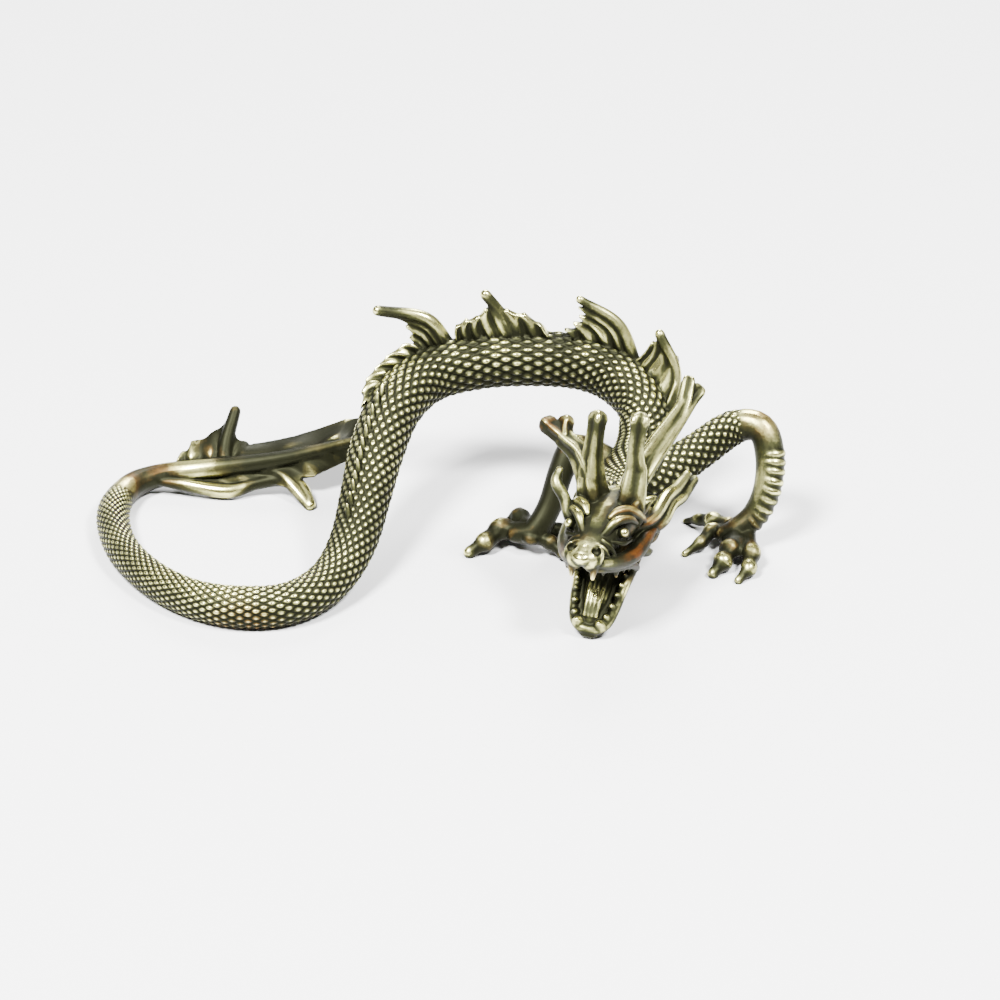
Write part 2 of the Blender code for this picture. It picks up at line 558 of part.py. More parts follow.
def head_forms():
    skull = smooth_curve([(*on_head(ahead, 0, up), wide, high) for ahead, up, wide, high in SKULL], 11)
    skull = rounded_ends(skull)
    bm, _ = loft(ring_places(skull, [CROWN] * len(skull)), circle(12))
    yield bm
    jaw = smooth_curve([(*on_head(ahead, 0, up), wide, high) for ahead, up, wide, high in LOWER_JAW], 7)
    jaw = rounded_ends(jaw)
    inner = AHEAD * JAW_FACING[0] + CROWN * JAW_FACING[1]
    bm, _ = loft(ring_places(jaw, [inner] * len(jaw)), circle(10))
    yield bm
    yield tube(head_rows(TONGUE), 6, 6)
    for side in (-1, 1):
        for rows, count in ((BROW, 6), (UPPER_BROW, 4), (CHEEK, 6), (LIP_RIM, 7), (EAR, 3)):
            yield tube(head_rows(rows, side), count, 6)
        for rows in CHEEK_SPIKES:
            yield tube(head_rows(rows, side), 3, 5)
        for (ahead, left, up), radius in ((EYE, EYE_RADIUS), (NOSTRIL, NOSTRIL_RADIUS)):
            yield ball(on_head(ahead, side * left, up), radius)
        for ahead, left, up, length in UPPER_TEETH:
            root = on_head(ahead, side * left, up + TOOTH_SUNK)
            yield cone(root, on_head(ahead, side * left, up - length), TOOTH_RADIUS, 4)
        for ahead, left, up, length in LOWER_TEETH:
            root = on_head(ahead, side * left, up)
            tip = on_head(ahead + length * JAW_FACING[0], side * left, up + length * JAW_FACING[1])
            yield cone(root, tip, TOOTH_RADIUS, 4)


def nose_holes():
    for side in (-1, 1):
        yield ball(on_head(NOSE_HOLE[0], side * NOSE_HOLE[1], NOSE_HOLE[2]), NOSE_HOLE_RADIUS, 5, 6)


def antler_forms():
    for rows in ANTLERS.values():
        yield tube(rows, 2 * len(rows) - 1, 7)
    for rows in WHISKERS.values():
        yield tube(rows, 2 * len(rows) - 1, 5)


def below_ground():
    """The block that takes off what would reach below the table."""
    bm = bmesh.new()
    bmesh.ops.create_cube(bm, size=2 * LENGTH, matrix=Matrix.Translation((0, 0, -LENGTH)))
    return bm


def helper_object(bm, name, collection):
    mesh = bpy.data.meshes.new(name)
    bm.to_mesh(mesh)
    bm.free()
    obj = bpy.data.objects.new(name, mesh)
    obj.hide_render = True
    obj.display_type = "WIRE"
    collection.objects.link(obj)
    return obj


def helper_group(name, forms):
    """Hidden forms in a collection of their own, to be joined to the body or cut from it."""
    group = bpy.data.collections.new(name)
    group.hide_render = True
    bpy.context.scene.collection.children.link(group)
    for i, bm in enumerate(forms):
        helper_object(bm, f"{name}_{i + 1}", group)
    return group


def add_boolean(obj, name, operation, group):
    step = obj.modifiers.new(name, "BOOLEAN")
    step.operand_type = "COLLECTION"
    step.collection = group
    step.operation = operation
    step.solver = "EXACT"


def brass():
    material = bpy.data.materials.new("brass")
    material.use_nodes = True
    shader = material.node_tree.nodes["Principled BSDF"]
    shader.inputs["Base Color"].default_value = BRASS_COLOUR
    shader.inputs["Roughness"].default_value = BRASS_ROUGHNESS
    shader.inputs["Metallic"].default_value = 1.0
    return material


def dragon():
    mesh = bpy.data.meshes.new("dragon")
    bm = body_form()
    bm.to_mesh(mesh)
    bm.free()
    mesh.shade_smooth()
    mesh.set_sharp_from_angle(angle=math.radians(40))
    mesh.materials.append(brass())
    obj = bpy.data.objects.new("dragon", mesh)
    bpy.context.scene.collection.objects.link(obj)
    fins = [fin_form(rays) for rays in FINS.values()]
    fins += [lobe_form(*rows) for rows in LOBES.values()]
    add_boolean(obj, "arms", "UNION", helper_group("arms", [*arm_forms()]))
    add_boolean(obj, "digits", "UNION", helper_group("digits", [*digit_forms()]))
    plates = [*plate_forms(RIGHT_ARM, 0.56, 0.8, FOREARM_PLATES, (0.9, -0.4, -0.3))]
    add_boolean(obj, "plates", "UNION", helper_group("plates", plates))
    add_boolean(obj, "head", "UNION", helper_group("head", [*head_forms()]))
    add_boolean(obj, "antlers", "UNION", helper_group("antlers", [*antler_forms()]))
    add_boolean(obj, "fins", "UNION", helper_group("fins", [*fins, *leg_spines()]))
    add_boolean(obj, "nostrils", "DIFFERENCE", helper_group("nostrils", [*nose_holes()]))
    add_boolean(obj, "flats", "DIFFERENCE", helper_group("ground", [below_ground()]))
    seams = obj.modifiers.new("seams", "DECIMATE")
    seams.decimate_type = "DISSOLVE"
    seams.angle_limit = SEAM_ANGLE
    return obj


for leftover in list(bpy.data.objects):
    bpy.data.objects.remove(leftover, do_unlink=True)
dragon()
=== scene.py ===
# %% [markdown]
# # A crawling dragon in cast brass
# The solid dragon from the part's source is loaded as a fixed frame. It gives the size and the
# place of everything here. One finely modelled piece then stands in for it, with all its scales,
# ribs, claws and teeth, and with the worn brass and dark patina of the real casting.

# %% Load the frame
import math

import bmesh
import bpy
import numpy as np
from mathutils import Matrix, Vector
from mathutils.bvhtree import BVHTree


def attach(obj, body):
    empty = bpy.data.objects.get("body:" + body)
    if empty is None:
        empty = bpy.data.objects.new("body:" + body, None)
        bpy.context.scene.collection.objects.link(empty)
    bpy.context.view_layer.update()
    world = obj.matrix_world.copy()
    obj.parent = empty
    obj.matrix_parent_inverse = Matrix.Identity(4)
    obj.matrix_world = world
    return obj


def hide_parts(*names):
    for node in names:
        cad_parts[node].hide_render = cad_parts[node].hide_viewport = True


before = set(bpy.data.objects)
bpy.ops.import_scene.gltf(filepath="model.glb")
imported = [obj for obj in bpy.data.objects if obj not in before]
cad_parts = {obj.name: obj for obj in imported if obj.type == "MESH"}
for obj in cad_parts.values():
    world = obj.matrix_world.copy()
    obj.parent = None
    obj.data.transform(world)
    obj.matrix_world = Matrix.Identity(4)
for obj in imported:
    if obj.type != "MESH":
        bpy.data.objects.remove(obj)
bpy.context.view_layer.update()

# %% [markdown]
# The figure is a free form, so its places are given on a drawing in which one unit is a
# millimetre. The solids were moved a little from the drawing to put the origin in the middle of
# the footprint, and what reached below the table was filed off. The same two moves come here.

# %% From the drawing to the world
UNIT = 0.001
MIDDLE_SHIFT = Vector((0.3, 0.25, 0.0))
FOOT_FLAT = 0.35
UP = Vector((0, 0, 1))


def metres(point):
    """A place of the drawing, in metres of the world."""
    return (Vector(point) + MIDDLE_SHIFT - UP * FOOT_FLAT) * UNIT


# %% [markdown]
# The photograph looks at the figure from the front and from well above it, through a long lens.
# A camera 480 mm away and 30 degrees up shows the loop, the arch and the head as it does.

# %% Camera
LOOK_AT = (9.0, 0.0, 10.0)
CAMERA_DISTANCE = 0.48
CAMERA_RISE = math.radians(30)
FOCAL_LENGTH = 115.2
SENSOR_WIDTH = 36.0
NEAREST = 0.01  # metres; nothing nearer than this is drawn

camera_data = bpy.data.cameras.new("camera")
camera_data.lens = FOCAL_LENGTH
camera_data.sensor_width = SENSOR_WIDTH
camera_data.clip_start = NEAREST
camera = bpy.data.objects.new("camera", camera_data)
back = Vector((0, -math.cos(CAMERA_RISE), math.sin(CAMERA_RISE)))
camera.location = metres(LOOK_AT) + back * CAMERA_DISTANCE
camera.rotation_euler = (math.pi / 2 - CAMERA_RISE, 0, 0)
bpy.context.scene.collection.objects.link(camera)
bpy.context.scene.camera = camera
print("camera at", [round(v, 4) for v in camera.location])

# %% [markdown]
# Every limb, horn and ridge of a casting like this is a tube that swells and thins. So the main
# helper takes a few rows of place and radius, draws a smooth curve through them, and extrudes a
# circle along it. Two smaller rings beyond each end round it off. Tubes are quicker to change
# than sculpted forms, because moving one row moves a whole stretch of the casting.

# %% Curves and tubes
FINE_STEPS = 12
DOME_TURNS = (1.2, 0.6)  # radians from the tube's last full ring to the two rings of its dome
FEWEST_RINGS = 4
TUBE_STEP, TUBE_SIDES = 0.7, 14  # millimetres from ring to ring, and corners of a ring
BALL_AROUND, BALL_RINGS = 18, 12


def smooth_curve(rows, count):
    """The rows' smooth curve, read again at even steps of its length."""
    rows = np.array(rows, float)
    ends = np.vstack([2 * rows[0] - rows[1], rows, 2 * rows[-1] - rows[-2]])
    fine = []
    for before, here, after, beyond in zip(ends, ends[1:], ends[2:], ends[3:]):
        for t in np.linspace(0, 1, FINE_STEPS, endpoint=False):
            line = 2 * here + (after - before) * t
            square = (2 * before - 5 * here + 4 * after - beyond) * t**2
            cube = (3 * here - before - 3 * after + beyond) * t**3
            fine.append((line + square + cube) / 2)
    fine = np.array([*fine, rows[-1]])
    steps = np.linalg.norm(np.diff(fine[:, :3], axis=0), axis=1)
    run = np.concatenate([[0], np.cumsum(steps)])
    wanted = np.linspace(0, run[-1], count)
    return np.column_stack([np.interp(wanted, run, column) for column in fine.T])


def ring_places(rows, facing=None):
    """A matrix for each row, with its columns along the ring's width, its height and the
    tube, scaled by the row's radius or by its two half widths."""
    centres = [Vector(row[:3]) for row in rows]
    places = []
    across = None
    for i, row in enumerate(rows):
        along = (centres[min(i + 1, len(rows) - 1)] - centres[max(i - 1, 0)]).normalized()
        if facing is not None:
            across = Vector(facing[i]).cross(along).normalized()
        elif across is None:
            across = along.orthogonal().normalized()
        else:
            across = (across - along * across.dot(along)).normalized()
        up = along.cross(across)
        wide, high = row[3], row[4] if len(row) > 4 else row[3]
        columns = [across * wide * UNIT, up * high * UNIT, along * UNIT]
        turned = Matrix([[*c, 0] for c in columns] + [[0, 0, 0, 1]]).transposed()
        places.append(Matrix.Translation(metres(centres[i])) @ turned)
    return places


def circle(sides):
    turns = [2 * math.pi * i / sides for i in range(sides)]
    return [Vector((math.cos(turn), math.sin(turn), 0)) for turn in turns]


def loft(places, outline):
    """A closed tube through the placed outlines, made by extruding its first end. It comes
    with its rings of points."""
    bm = bmesh.new()
    bm.verts.layers.float.new("rise")
    bmesh.ops.create_circle(bm, cap_ends=True, segments=len(outline), radius=1)
    end = bm.faces[:][0]
    rings = []
    for i, place in enumerate(places):
        if i > 0:
            grown = bmesh.ops.extrude_face_region(bm, geom=[end])["geom"]
            if i > 1:
                bm.faces.remove(end)
            end = next(item for item in grown if isinstance(item, bmesh.types.BMFace))
        for vert, point in zip(end.verts, outline):
            vert.co = place @ point
        rings.append(list(end.verts))
    bmesh.ops.recalc_face_normals(bm, faces=bm.faces)
    return bm, rings


def rounded_ends(rows):
    """The rows with two smaller rings beyond each end, so that a tube ends in a dome."""
    first, second = np.array(rows[0]), np.array(rows[1])
    last, inner = np.array(rows[-1]), np.array(rows[-2])

    def dome(end, inside, turn):
        out = end[:3] - inside[:3]
        out = out / np.linalg.norm(out) * end[3]
        ring = end.copy()
        ring[:3] += out * math.sin(turn)
        ring[3:] *= math.cos(turn)
        return ring

    start = [dome(first, second, turn) for turn in DOME_TURNS]
    finish = [dome(last, inner, turn) for turn in reversed(DOME_TURNS)]
    return [*start, *rows, *finish]


def even_rings(rows, step):
    """The rows read again with a ring about every step of their length, domed at both ends."""
    length = sum((Vector(a[:3]) - Vector(b[:3])).length for a, b in zip(rows, rows[1:]))
    return rounded_ends(smooth_curve(rows, max(FEWEST_RINGS, round(length / step))))


def tube(rows, step=TUBE_STEP, sides=TUBE_SIDES):
    """A smooth round tube through the rows."""
    return loft(ring_places(even_rings(rows, step)), circle(sides))[0]


def ball(centre, radius, squash=(1, 1, 1)):
    bm = bmesh.new()
    place = Matrix.Translation(metres(centre)) @ Matrix.Diagonal((*squash, 1))
    bmesh.ops.create_uvsphere(
        bm, u_segments=BALL_AROUND, v_segments=BALL_RINGS, radius=radius * UNIT, matrix=place
    )
    return bm


# %% [markdown]
# The body runs from the end of the tail through a loop on the table, up the leg and over the
# arch to the neck. Each row gives a place, a radius, the direction in which the back faces, and
# how long a scale is there: they are small on the tail and stretched over the arch.

# %% The line of the body
SPINE = [
    (-12.5, 22.5, 8.0, 0.8, 0.0, 0.2, 1.0, 1.2),
    (-25.0, 19.8, 6.0, 1.3, 0.0, 0.2, 1.0, 1.2),
    (-38.0, 19.8, 4.0, 1.7, 0.0, 0.2, 1.0, 1.3),
    (-44.2, 20.0, 2.9, 1.9, 0.0, 0.0, 1.0, 1.3),
    (-48.6, 16.9, 2.5, 2.2, 0.0, 0.0, 1.0, 1.4),
    (-50.4, 9.0, 2.5, 2.5, 0.0, 0.0, 1.0, 1.6),
    (-48.0, -1.6, 2.6, 2.5, 0.0, 0.0, 1.0, 1.7),
    (-42.6, -10.5, 2.7, 2.6, 0.0, 0.0, 1.0, 1.8),
    (-36.0, -16.6, 2.9, 2.8, 0.0, 0.0, 1.0, 1.9),
    (-28.9, -19.3, 3.1, 3.1, 0.0, 0.0, 1.0, 2.0),
    (-21.7, -18.4, 3.2, 3.1, 0.0, 0.0, 1.0, 2.0),
    (-16.2, -13.4, 4.0, 3.2, -0.2, -0.2, 1.0, 2.0),
    (-12.9, -6.8, 6.6, 3.5, -0.4, -0.4, 0.9, 2.0),
    (-11.1, 0.6, 10.7, 3.8, -0.4, -0.4, 0.9, 2.1),
    (-9.6, 7.3, 14.5, 4.1, -0.4, -0.4, 0.9, 2.2),
    (-7.0, 14.4, 18.2, 4.2, -0.4, -0.3, 0.9, 2.4),
    (-2.2, 20.2, 20.4, 4.2, -0.2, 0.0, 1.0, 2.8),
    (5.0, 22.4, 21.6, 4.2, 0.0, 0.1, 1.0, 3.2),
    (13.0, 22.9, 22.0, 4.2, 0.0, 0.1, 1.0, 3.2),
    (21.0, 23.0, 21.4, 4.2, 0.1, 0.1, 1.0, 2.7),
    (26.8, 21.2, 19.8, 4.1, 0.5, 0.2, 0.9, 2.3),
    (30.9, 16.5, 17.0, 3.9, 0.8, 0.1, 0.6, 2.0),
    (30.6, 11.2, 13.4, 3.8, 0.7, 0.1, 0.7, 2.0),
    (28.4, 5.9, 11.6, 3.7, 0.3, 0.0, 1.0, 2.0),
    (26.5, 0.1, 12.0, 3.6, 0.0, 0.0, 1.0, 2.0),
    (25.6, -6.1, 13.5, 3.5, 0.0, 0.3, 1.0, 2.0),
    (25.2, -9.5, 14.6, 3.6, 0.0, 0.3, 1.0, 2.0),
    (25.4, -11.9, 14.2, 3.3, 0.0, 0.3, 1.0, 2.0),
]
SPINE_STEPS = 400
GIRTH = 8.2 / 8.4  # the thickness over the arch, finished and as drawn
SMOOTH_TAIL_END = 0.2  # share of the body, from the tail's end, that bears no scales
ROOT_DEPTH = 0.8  # where a fin's root lies, as a share of the body's radius
spine = smooth_curve(SPINE, SPINE_STEPS)
spine[:, 3] *= GIRTH
spine_length = np.linalg.norm(np.diff(spine[:, :3], axis=0), axis=1).sum()
print(f"the body is {spine_length:.0f} mm long along its middle")


def rooted(point):
    """The point moved in or out from the spine, so that what grows there starts under the
    skin of the body."""
    nearest = spine[np.linalg.norm(spine[:, :3] - np.array(point), axis=1).argmin()]
    centre = Vector(nearest[:3])
    return centre + (Vector(point) - centre).normalized() * nearest[3] * ROOT_DEPTH


# %% [markdown]
# The scales are rounded beads in staggered rows, with a groove all round each. They could be
# bumps in a material, but they show in the outline, so they are modelled. The lattice comes
# first: a tube is extruded with two points for each scale, and with two rings for each. Every
# second point is dissolved, which leaves diamonds.

# %% The lattice of diamonds
SCALE_RELIEF = 0.62  # millimetres
FULL_RELIEF = 0.4 * SCALE_RELIEF * UNIT  # a scale with more relief than this is full grown
IN_GROOVE, ON_RIM, ON_TOP = -1.0, 0.1, 1.3  # where a point is on its scale; 0 is smooth skin


def scale_rings(rows, fade):
    """The rows read again half a scale apart, and how far the scales are out at each. They
    come up out of a smooth skin over the first share that fade gives."""
    steps = np.linalg.norm(np.diff(rows[:, :3], axis=0), axis=1)
    run = np.concatenate([[0], np.cumsum(steps)])
    stops = [0.0]
    while stops[-1] < run[-1]:
        stops.append(stops[-1] + np.interp(stops[-1], run, rows[:, 7]) / 2)
    stops = np.array(stops) * run[-1] / stops[-1]
    grown = np.minimum(1, stops / (fade * run[-1]))
    return np.column_stack([np.interp(stops, run, column) for column in rows.T]), grown


def diamond_tube(rows, pairs, fade):
    """A tube of diamonds through fine rows of place, radius, back direction and scale length.
    It comes with the number of the ring that each point is on."""
    rings_at, grown = scale_rings(rows, fade)
    places = ring_places([row[:4] for row in rings_at], [row[4:7] for row in rings_at])
    bm, rings = loft(places, circle(2 * pairs))
    rise = bm.verts.layers.float["rise"]
    low, high = [], []
    for i, ring in enumerate(rings):
        for j, vert in enumerate(ring):
            vert[rise] = SCALE_RELIEF * grown[i] * rings_at[i, 3] / rows[:, 3].max() * UNIT
            if 0 < i < len(rings) - 1:
                (low if (i + j) % 2 else high).append(vert)
    bmesh.ops.connect_verts(bm, verts=low)
    bmesh.ops.dissolve_verts(bm, verts=high)
    return bm, {vert: i for i, ring in enumerate(rings) for vert in ring if vert.is_valid}


# %% [markdown]
# On the real one each scale is a small cushion that casts a dark line round itself. So each
# diamond gets eight corners and is inset. Its inner face becomes the cushion's rim, and a poke
# gives it a top. The skin itself is lowered by half the relief first.

# %% Beads on the diamonds
BEAD_LONG, BEAD_WIDE = 0.49, 0.66  # a bead's share of its diamond, along the body and round it
MID_EDGE = 1.4  # how much more of the way to the middles of the diamond's edges
ON_LINE = 0.001  # millimetres; a point nearer than this to its neighbours' middle is a middle
SHOULDER = 0.72  # height of the bead's rim, as a share of its top
INSET = 0.02  # millimetres


def bead(face, way, rise):
    """The top of the bead on a diamond, the corners of its rim, and how full grown it is."""
    centre, normal = face.calc_center_median(), face.normal.copy()
    height = sum(vert[rise] for vert in face.verts) / len(face.verts)
    verts = list(face.verts)
    off_line = (verts[-1].co + verts[1].co) / 2 - verts[0].co
    middles = 0 if off_line.length < ON_LINE * UNIT else 1
    rim = []
    for k, vert in enumerate(verts):
        out = (vert.co - centre) * (MID_EDGE if k % 2 == middles else 1)
        long = way * out.dot(way)
        reach = long * BEAD_LONG + (out - long) * BEAD_WIDE
        rim.append(centre + reach + normal * height * SHOULDER)
    return centre + normal * height, rim, min(1, height / FULL_RELIEF)


def scale_tube(rows, pairs, fade):
    """A tube of domed scales, with this many pairs of them round it."""
    bm, ring_of = diamond_tube(rows, pairs, fade)
    rise = bm.verts.layers.float["rise"]
    scales = [face for face in bm.faces if len(face.verts) == 4]
    ways = []
    for face in scales:
        ends = sorted(face.verts, key=ring_of.get)
        ways.append((ends[-1].co - ends[0].co).normalized())
    bm.normal_update()
    for vert in bm.verts:
        vert.co -= vert.normal * vert[rise] / 2
    bmesh.ops.bisect_edges(bm, edges=list({e for f in scales for e in f.edges}), cuts=1)
    bm.normal_update()
    beads = [bead(face, way, rise) for face, way in zip(scales, ways)]
    bmesh.ops.inset_individual(bm, faces=scales, thickness=INSET * UNIT)
    for vert in bm.verts:
        vert[rise] = IN_GROOVE * min(1, vert[rise] / FULL_RELIEF)
    for face, (_, rim, grown) in zip(scales, beads):
        for vert, place in zip(face.verts, rim):
            vert.co = place
            vert[rise] = ON_RIM * grown
    tops = bmesh.ops.poke(bm, faces=scales)["verts"]
    for vert, (top, _, grown) in zip(tops, beads):
        vert.co = top
        vert[rise] = ON_TOP * grown
    bmesh.ops.recalc_face_normals(bm, faces=bm.faces)
    print(f"{len(scales)} scales, {len(bm.faces)} faces")
    return bm


# %% [markdown]
# The body's scales begin where the smooth tail ends. There the tube starts a little thinner than
# the tail, so that it comes out from under the tail's skin without a step.

# %% Scales of the body
BLEND = 8  # rows over which one skin sinks under the other
SUNK = 0.93  # share of the radius that is left at the sunken end
BODY_PAIRS, BODY_FADE = 18, 0.045


def sinking(rows, blend=BLEND, sunk=SUNK):
    """The rows with a thinner start, which hides under the skin that goes on from it."""
    rows = rows.copy()
    rows[:blend, 3] *= np.linspace(sunk, 1, blend)
    return rows


tail_end = round(SMOOTH_TAIL_END * SPINE_STEPS)
scaled = scale_tube(sinking(spine[tail_end - BLEND // 2 :]), BODY_PAIRS, BODY_FADE)

# %% [markdown]
# The fins of the back are rows of flat bars with narrow grooves between them, and the tail fin
# lies in wide soft folds. They could be cut out of a plate, but the rays fan out and bend, so
# each fin starts from its rays: a place in the body's skin, a bend and a tip for each.

# %% Rays of the fins
FINS = {
    "fringe of the leg": [
        [(-10.6, 14.0, 19.0), (-11.4, 13.6, 19.2), (-12.3, 12.6, 18.6)],
        [(-9.4, 16.5, 20.5), (-10.8, 16.0, 20.9), (-12.2, 14.8, 20.3)],
        [(-8.0, 18.6, 21.6), (-9.8, 17.9, 22.0), (-11.6, 16.8, 21.5)],
        [(-6.2, 20.2, 22.4), (-8.2, 19.4, 23.2), (-10.2, 18.4, 22.7)],
        [(-4.4, 21.2, 23.2), (-6.4, 20.6, 24.2), (-8.6, 19.8, 23.9)],
        [(-2.9, 21.9, 23.9), (-4.2, 21.6, 25.1), (-6.0, 21.4, 25.2)],
    ],
    "first fin": [
        [(-3.4, 21.8, 23.4), (-4.0, 22.2, 24.0), (-4.8, 22.5, 24.4)],
        [(-2.4, 22.2, 23.9), (-3.5, 22.4, 25.1), (-5.0, 22.6, 25.9)],
        [(-1.4, 22.4, 24.2), (-2.9, 22.5, 26.3), (-5.6, 22.6, 27.7)],
        [(-0.2, 22.5, 24.4), (-2.6, 22.7, 27.6), (-7.2, 22.8, 29.2)],
        [(0.6, 22.6, 24.6), (-2.6, 22.8, 29.0), (-10.2, 22.8, 30.6)],
    ],
    "second fin": [
        [(2.6, 22.8, 24.6), (2.0, 22.8, 26.4), (2.2, 22.8, 27.8)],
        [(4.2, 22.8, 25.0), (3.4, 22.8, 27.2), (3.8, 22.8, 28.9)],
        [(6.0, 22.9, 25.4), (5.0, 22.9, 27.6), (5.4, 22.9, 29.3)],
        [(8.0, 22.9, 25.6), (6.8, 22.9, 28.2), (6.6, 22.9, 30.6)],
        [(10.4, 23.0, 25.6), (8.5, 23.0, 29.4), (6.5, 23.0, 32.8)],
        [(12.2, 23.0, 25.8), (11.0, 23.0, 28.6), (10.2, 23.0, 30.4)],
        [(14.6, 23.0, 25.7), (13.6, 23.0, 28.2), (12.8, 23.0, 29.8)],
        [(17.0, 23.0, 25.5), (16.0, 23.0, 27.0), (15.2, 23.0, 28.0)],
    ],
    "third fin": [
        [(20.6, 23.2, 25.0), (19.8, 23.2, 26.1), (18.8, 23.2, 26.9)],
        [(23.4, 23.2, 25.0), (22.0, 23.2, 26.7), (20.0, 23.2, 28.1)],
        [(26.2, 22.9, 24.2), (24.3, 23.0, 27.0), (20.9, 23.2, 29.3)],
        [(28.4, 22.5, 23.2), (26.0, 22.9, 27.4), (20.8, 23.2, 30.8)],
        [(30.0, 22.2, 22.4), (27.4, 22.8, 28.0), (20.9, 23.2, 32.2)],
    ],
    "fourth fin": [
        [(29.4, 21.2, 21.6), (31.2, 21.0, 24.0), (32.4, 20.8, 26.2)],
        [(30.6, 20.2, 21.2), (32.6, 20.4, 24.2), (33.2, 20.5, 26.8)],
        [(31.6, 19.2, 20.4), (33.8, 19.8, 24.0), (34.2, 20.2, 27.0)],
        [(32.6, 16.8, 18.2), (35.2, 17.8, 21.4), (36.2, 18.8, 24.6)],
        [(33.0, 14.4, 15.8), (35.2, 15.2, 18.2), (36.2, 16.4, 20.8)],
    ],
    "back of the tail fin": [
        [(-42.0, 20.4, 3.4), (-41.6, 21.8, 4.4), (-41.0, 22.9, 5.3)],
        [(-39.0, 20.0, 3.8), (-39.4, 22.2, 5.0), (-39.5, 24.4, 6.4)],
        [(-36.0, 19.8, 4.2), (-36.2, 22.0, 5.6), (-36.7, 24.9, 7.2)],
        [(-34.2, 19.8, 4.4), (-33.9, 23.0, 7.0), (-32.6, 27.2, 11.0)],
        [(-32.0, 19.8, 4.8), (-31.0, 21.8, 5.6), (-30.4, 23.6, 6.1)],
        [(-24.0, 20.0, 6.0), (-23.6, 22.2, 6.4), (-23.2, 24.9, 6.9)],
        [(-16.6, 21.6, 7.4), (-16.0, 24.0, 7.8), (-15.4, 26.8, 8.9)],
        [(-13.4, 22.4, 7.9), (-12.8, 24.4, 8.4), (-12.0, 26.8, 9.4)],
    ],
    "front of the tail fin": [
        [(-42.6, 20.2, 3.2), (-41.0, 19.2, 2.4), (-39.6, 18.8, 1.9)],
        [(-40.0, 20.0, 3.4), (-37.2, 18.6, 2.0), (-34.4, 17.6, 0.9)],
        [(-33.6, 19.8, 4.4), (-31.4, 18.8, 2.9), (-29.6, 18.3, 2.3)],
        [(-27.6, 19.8, 5.4), (-24.4, 18.2, 3.3), (-21.4, 15.2, 1.3)],
        [(-22.4, 20.2, 6.2), (-20.8, 19.4, 4.6), (-19.4, 18.8, 3.8)],
        [(-17.6, 21.2, 7.0), (-16.6, 20.6, 5.8), (-15.6, 20.2, 5.0)],
        [(-13.4, 22.4, 7.9), (-12.8, 21.6, 6.8), (-12.0, 21.0, 6.2)],
    ],
}
print(sum(len(rays) for rays in FINS.values()), "rays on", len(FINS), "fins")

# %% [markdown]
# A fin is a flat grid, pulled apart into two skins. Its points are laid on smooth curves from ray
# to ray and pushed out on both sides by half the thickness there. A modifier could give the
# thickness too, but here it changes from bar to groove.

# %% Fins
RIBS = (0.95, 0.85, 0.5)  # half thickness of a rib at its root, bend and tip
SKIN = 0.42  # half thickness of the web between ribs
WEB_LINES = 8  # lines of points from one rib to the next
WEB_STEPS = 14
WEB_REACH, SOFT_REACH = 0.9, 1.0  # how far the web goes out between two rays
LONG_RAY = 1.3  # times its neighbour; along a longer ray the web ends before the tip
DIP_POWER = 0.7  # below 1 the edge between two rays is a round notch
GROOVE_POWER, FOLD_POWER = 4, 2  # a high power makes a narrow groove
SOFT_FINS = ("back of the tail fin", "front of the tail fin")  # wide low folds, not ribs


def fin_lines(rays, soft):
    """Lines of places with half the thickness there, from the fin's first ray to its last.
    A soft fin has wide folds between its rays, and any other narrow grooves."""
    rays = [[rooted(ray[0]), *ray[1:]] for ray in rays]
    rays = [[(*point, half) for point, half in zip(ray, RIBS)] for ray in rays]
    rays = [smooth_curve(ray, WEB_STEPS + 1) for ray in rays]
    lengths = [np.linalg.norm(ray[-1, :3] - ray[0, :3]) for ray in rays]
    web_reach = SOFT_REACH if soft else WEB_REACH
    steps = np.arange(WEB_STEPS + 1)
    lines = []
    for k, (one, two) in enumerate(zip(rays, rays[1:])):
        shorter = min(lengths[k], lengths[k + 1])
        for t in np.arange(WEB_LINES) / WEB_LINES:
            dip = math.sin(math.pi * t) ** DIP_POWER
            line = np.zeros_like(one)
            for ray, length, weight in ((one, lengths[k], 1 - t), (two, lengths[k + 1], t)):
                short = web_reach * min(1, LONG_RAY * shorter / length)
                reach = steps * (1 - dip * (1 - short))
                line += weight * np.column_stack([np.interp(reach, steps, c) for c in ray.T])
            if soft:
                rib = math.cos(math.pi * t) ** FOLD_POWER
            else:
                rib = 1 - math.sin(math.pi * t) ** GROOVE_POWER
            line[:, 3] = SKIN + (line[:, 3] - SKIN) * rib
            lines.append(line)
    return np.array([*lines, rays[-1]])


def fin_form(rays, soft):
    """A closed fin: a grid in two skins, laid on the lines and pushed out along its normals."""
    lines = fin_lines(rays, soft)
    along = np.gradient(lines[:, :, :3], axis=1)
    across = np.gradient(lines[:, :, :3], axis=0)
    facing = np.cross(along, across)
    facing /= np.linalg.norm(facing, axis=2)[:, :, None]

    bm = bmesh.new()
    bmesh.ops.create_grid(bm, x_segments=len(lines) - 1, y_segments=WEB_STEPS, size=1)
    grown = bmesh.ops.extrude_face_region(bm, geom=bm.faces[:])["geom"]
    far_side = {item for item in grown if isinstance(item, bmesh.types.BMVert)}
    for vert in bm.verts:
        line = round((vert.co.x + 1) / 2 * (len(lines) - 1))
        step = round((vert.co.y + 1) / 2 * WEB_STEPS)
        point = lines[line, step]
        side = 1 if vert in far_side else -1
        vert.co = metres(point[:3] + side * facing[line, step] * point[3])
    bmesh.ops.recalc_face_normals(bm, faces=bm.faces)
    return bm


# %% [markdown]
# Smooth lobes lie along the edges of the fins, and two of them reach down to the table in front
# of the tail. They are plain tubes, rooted in the body as the rays are.

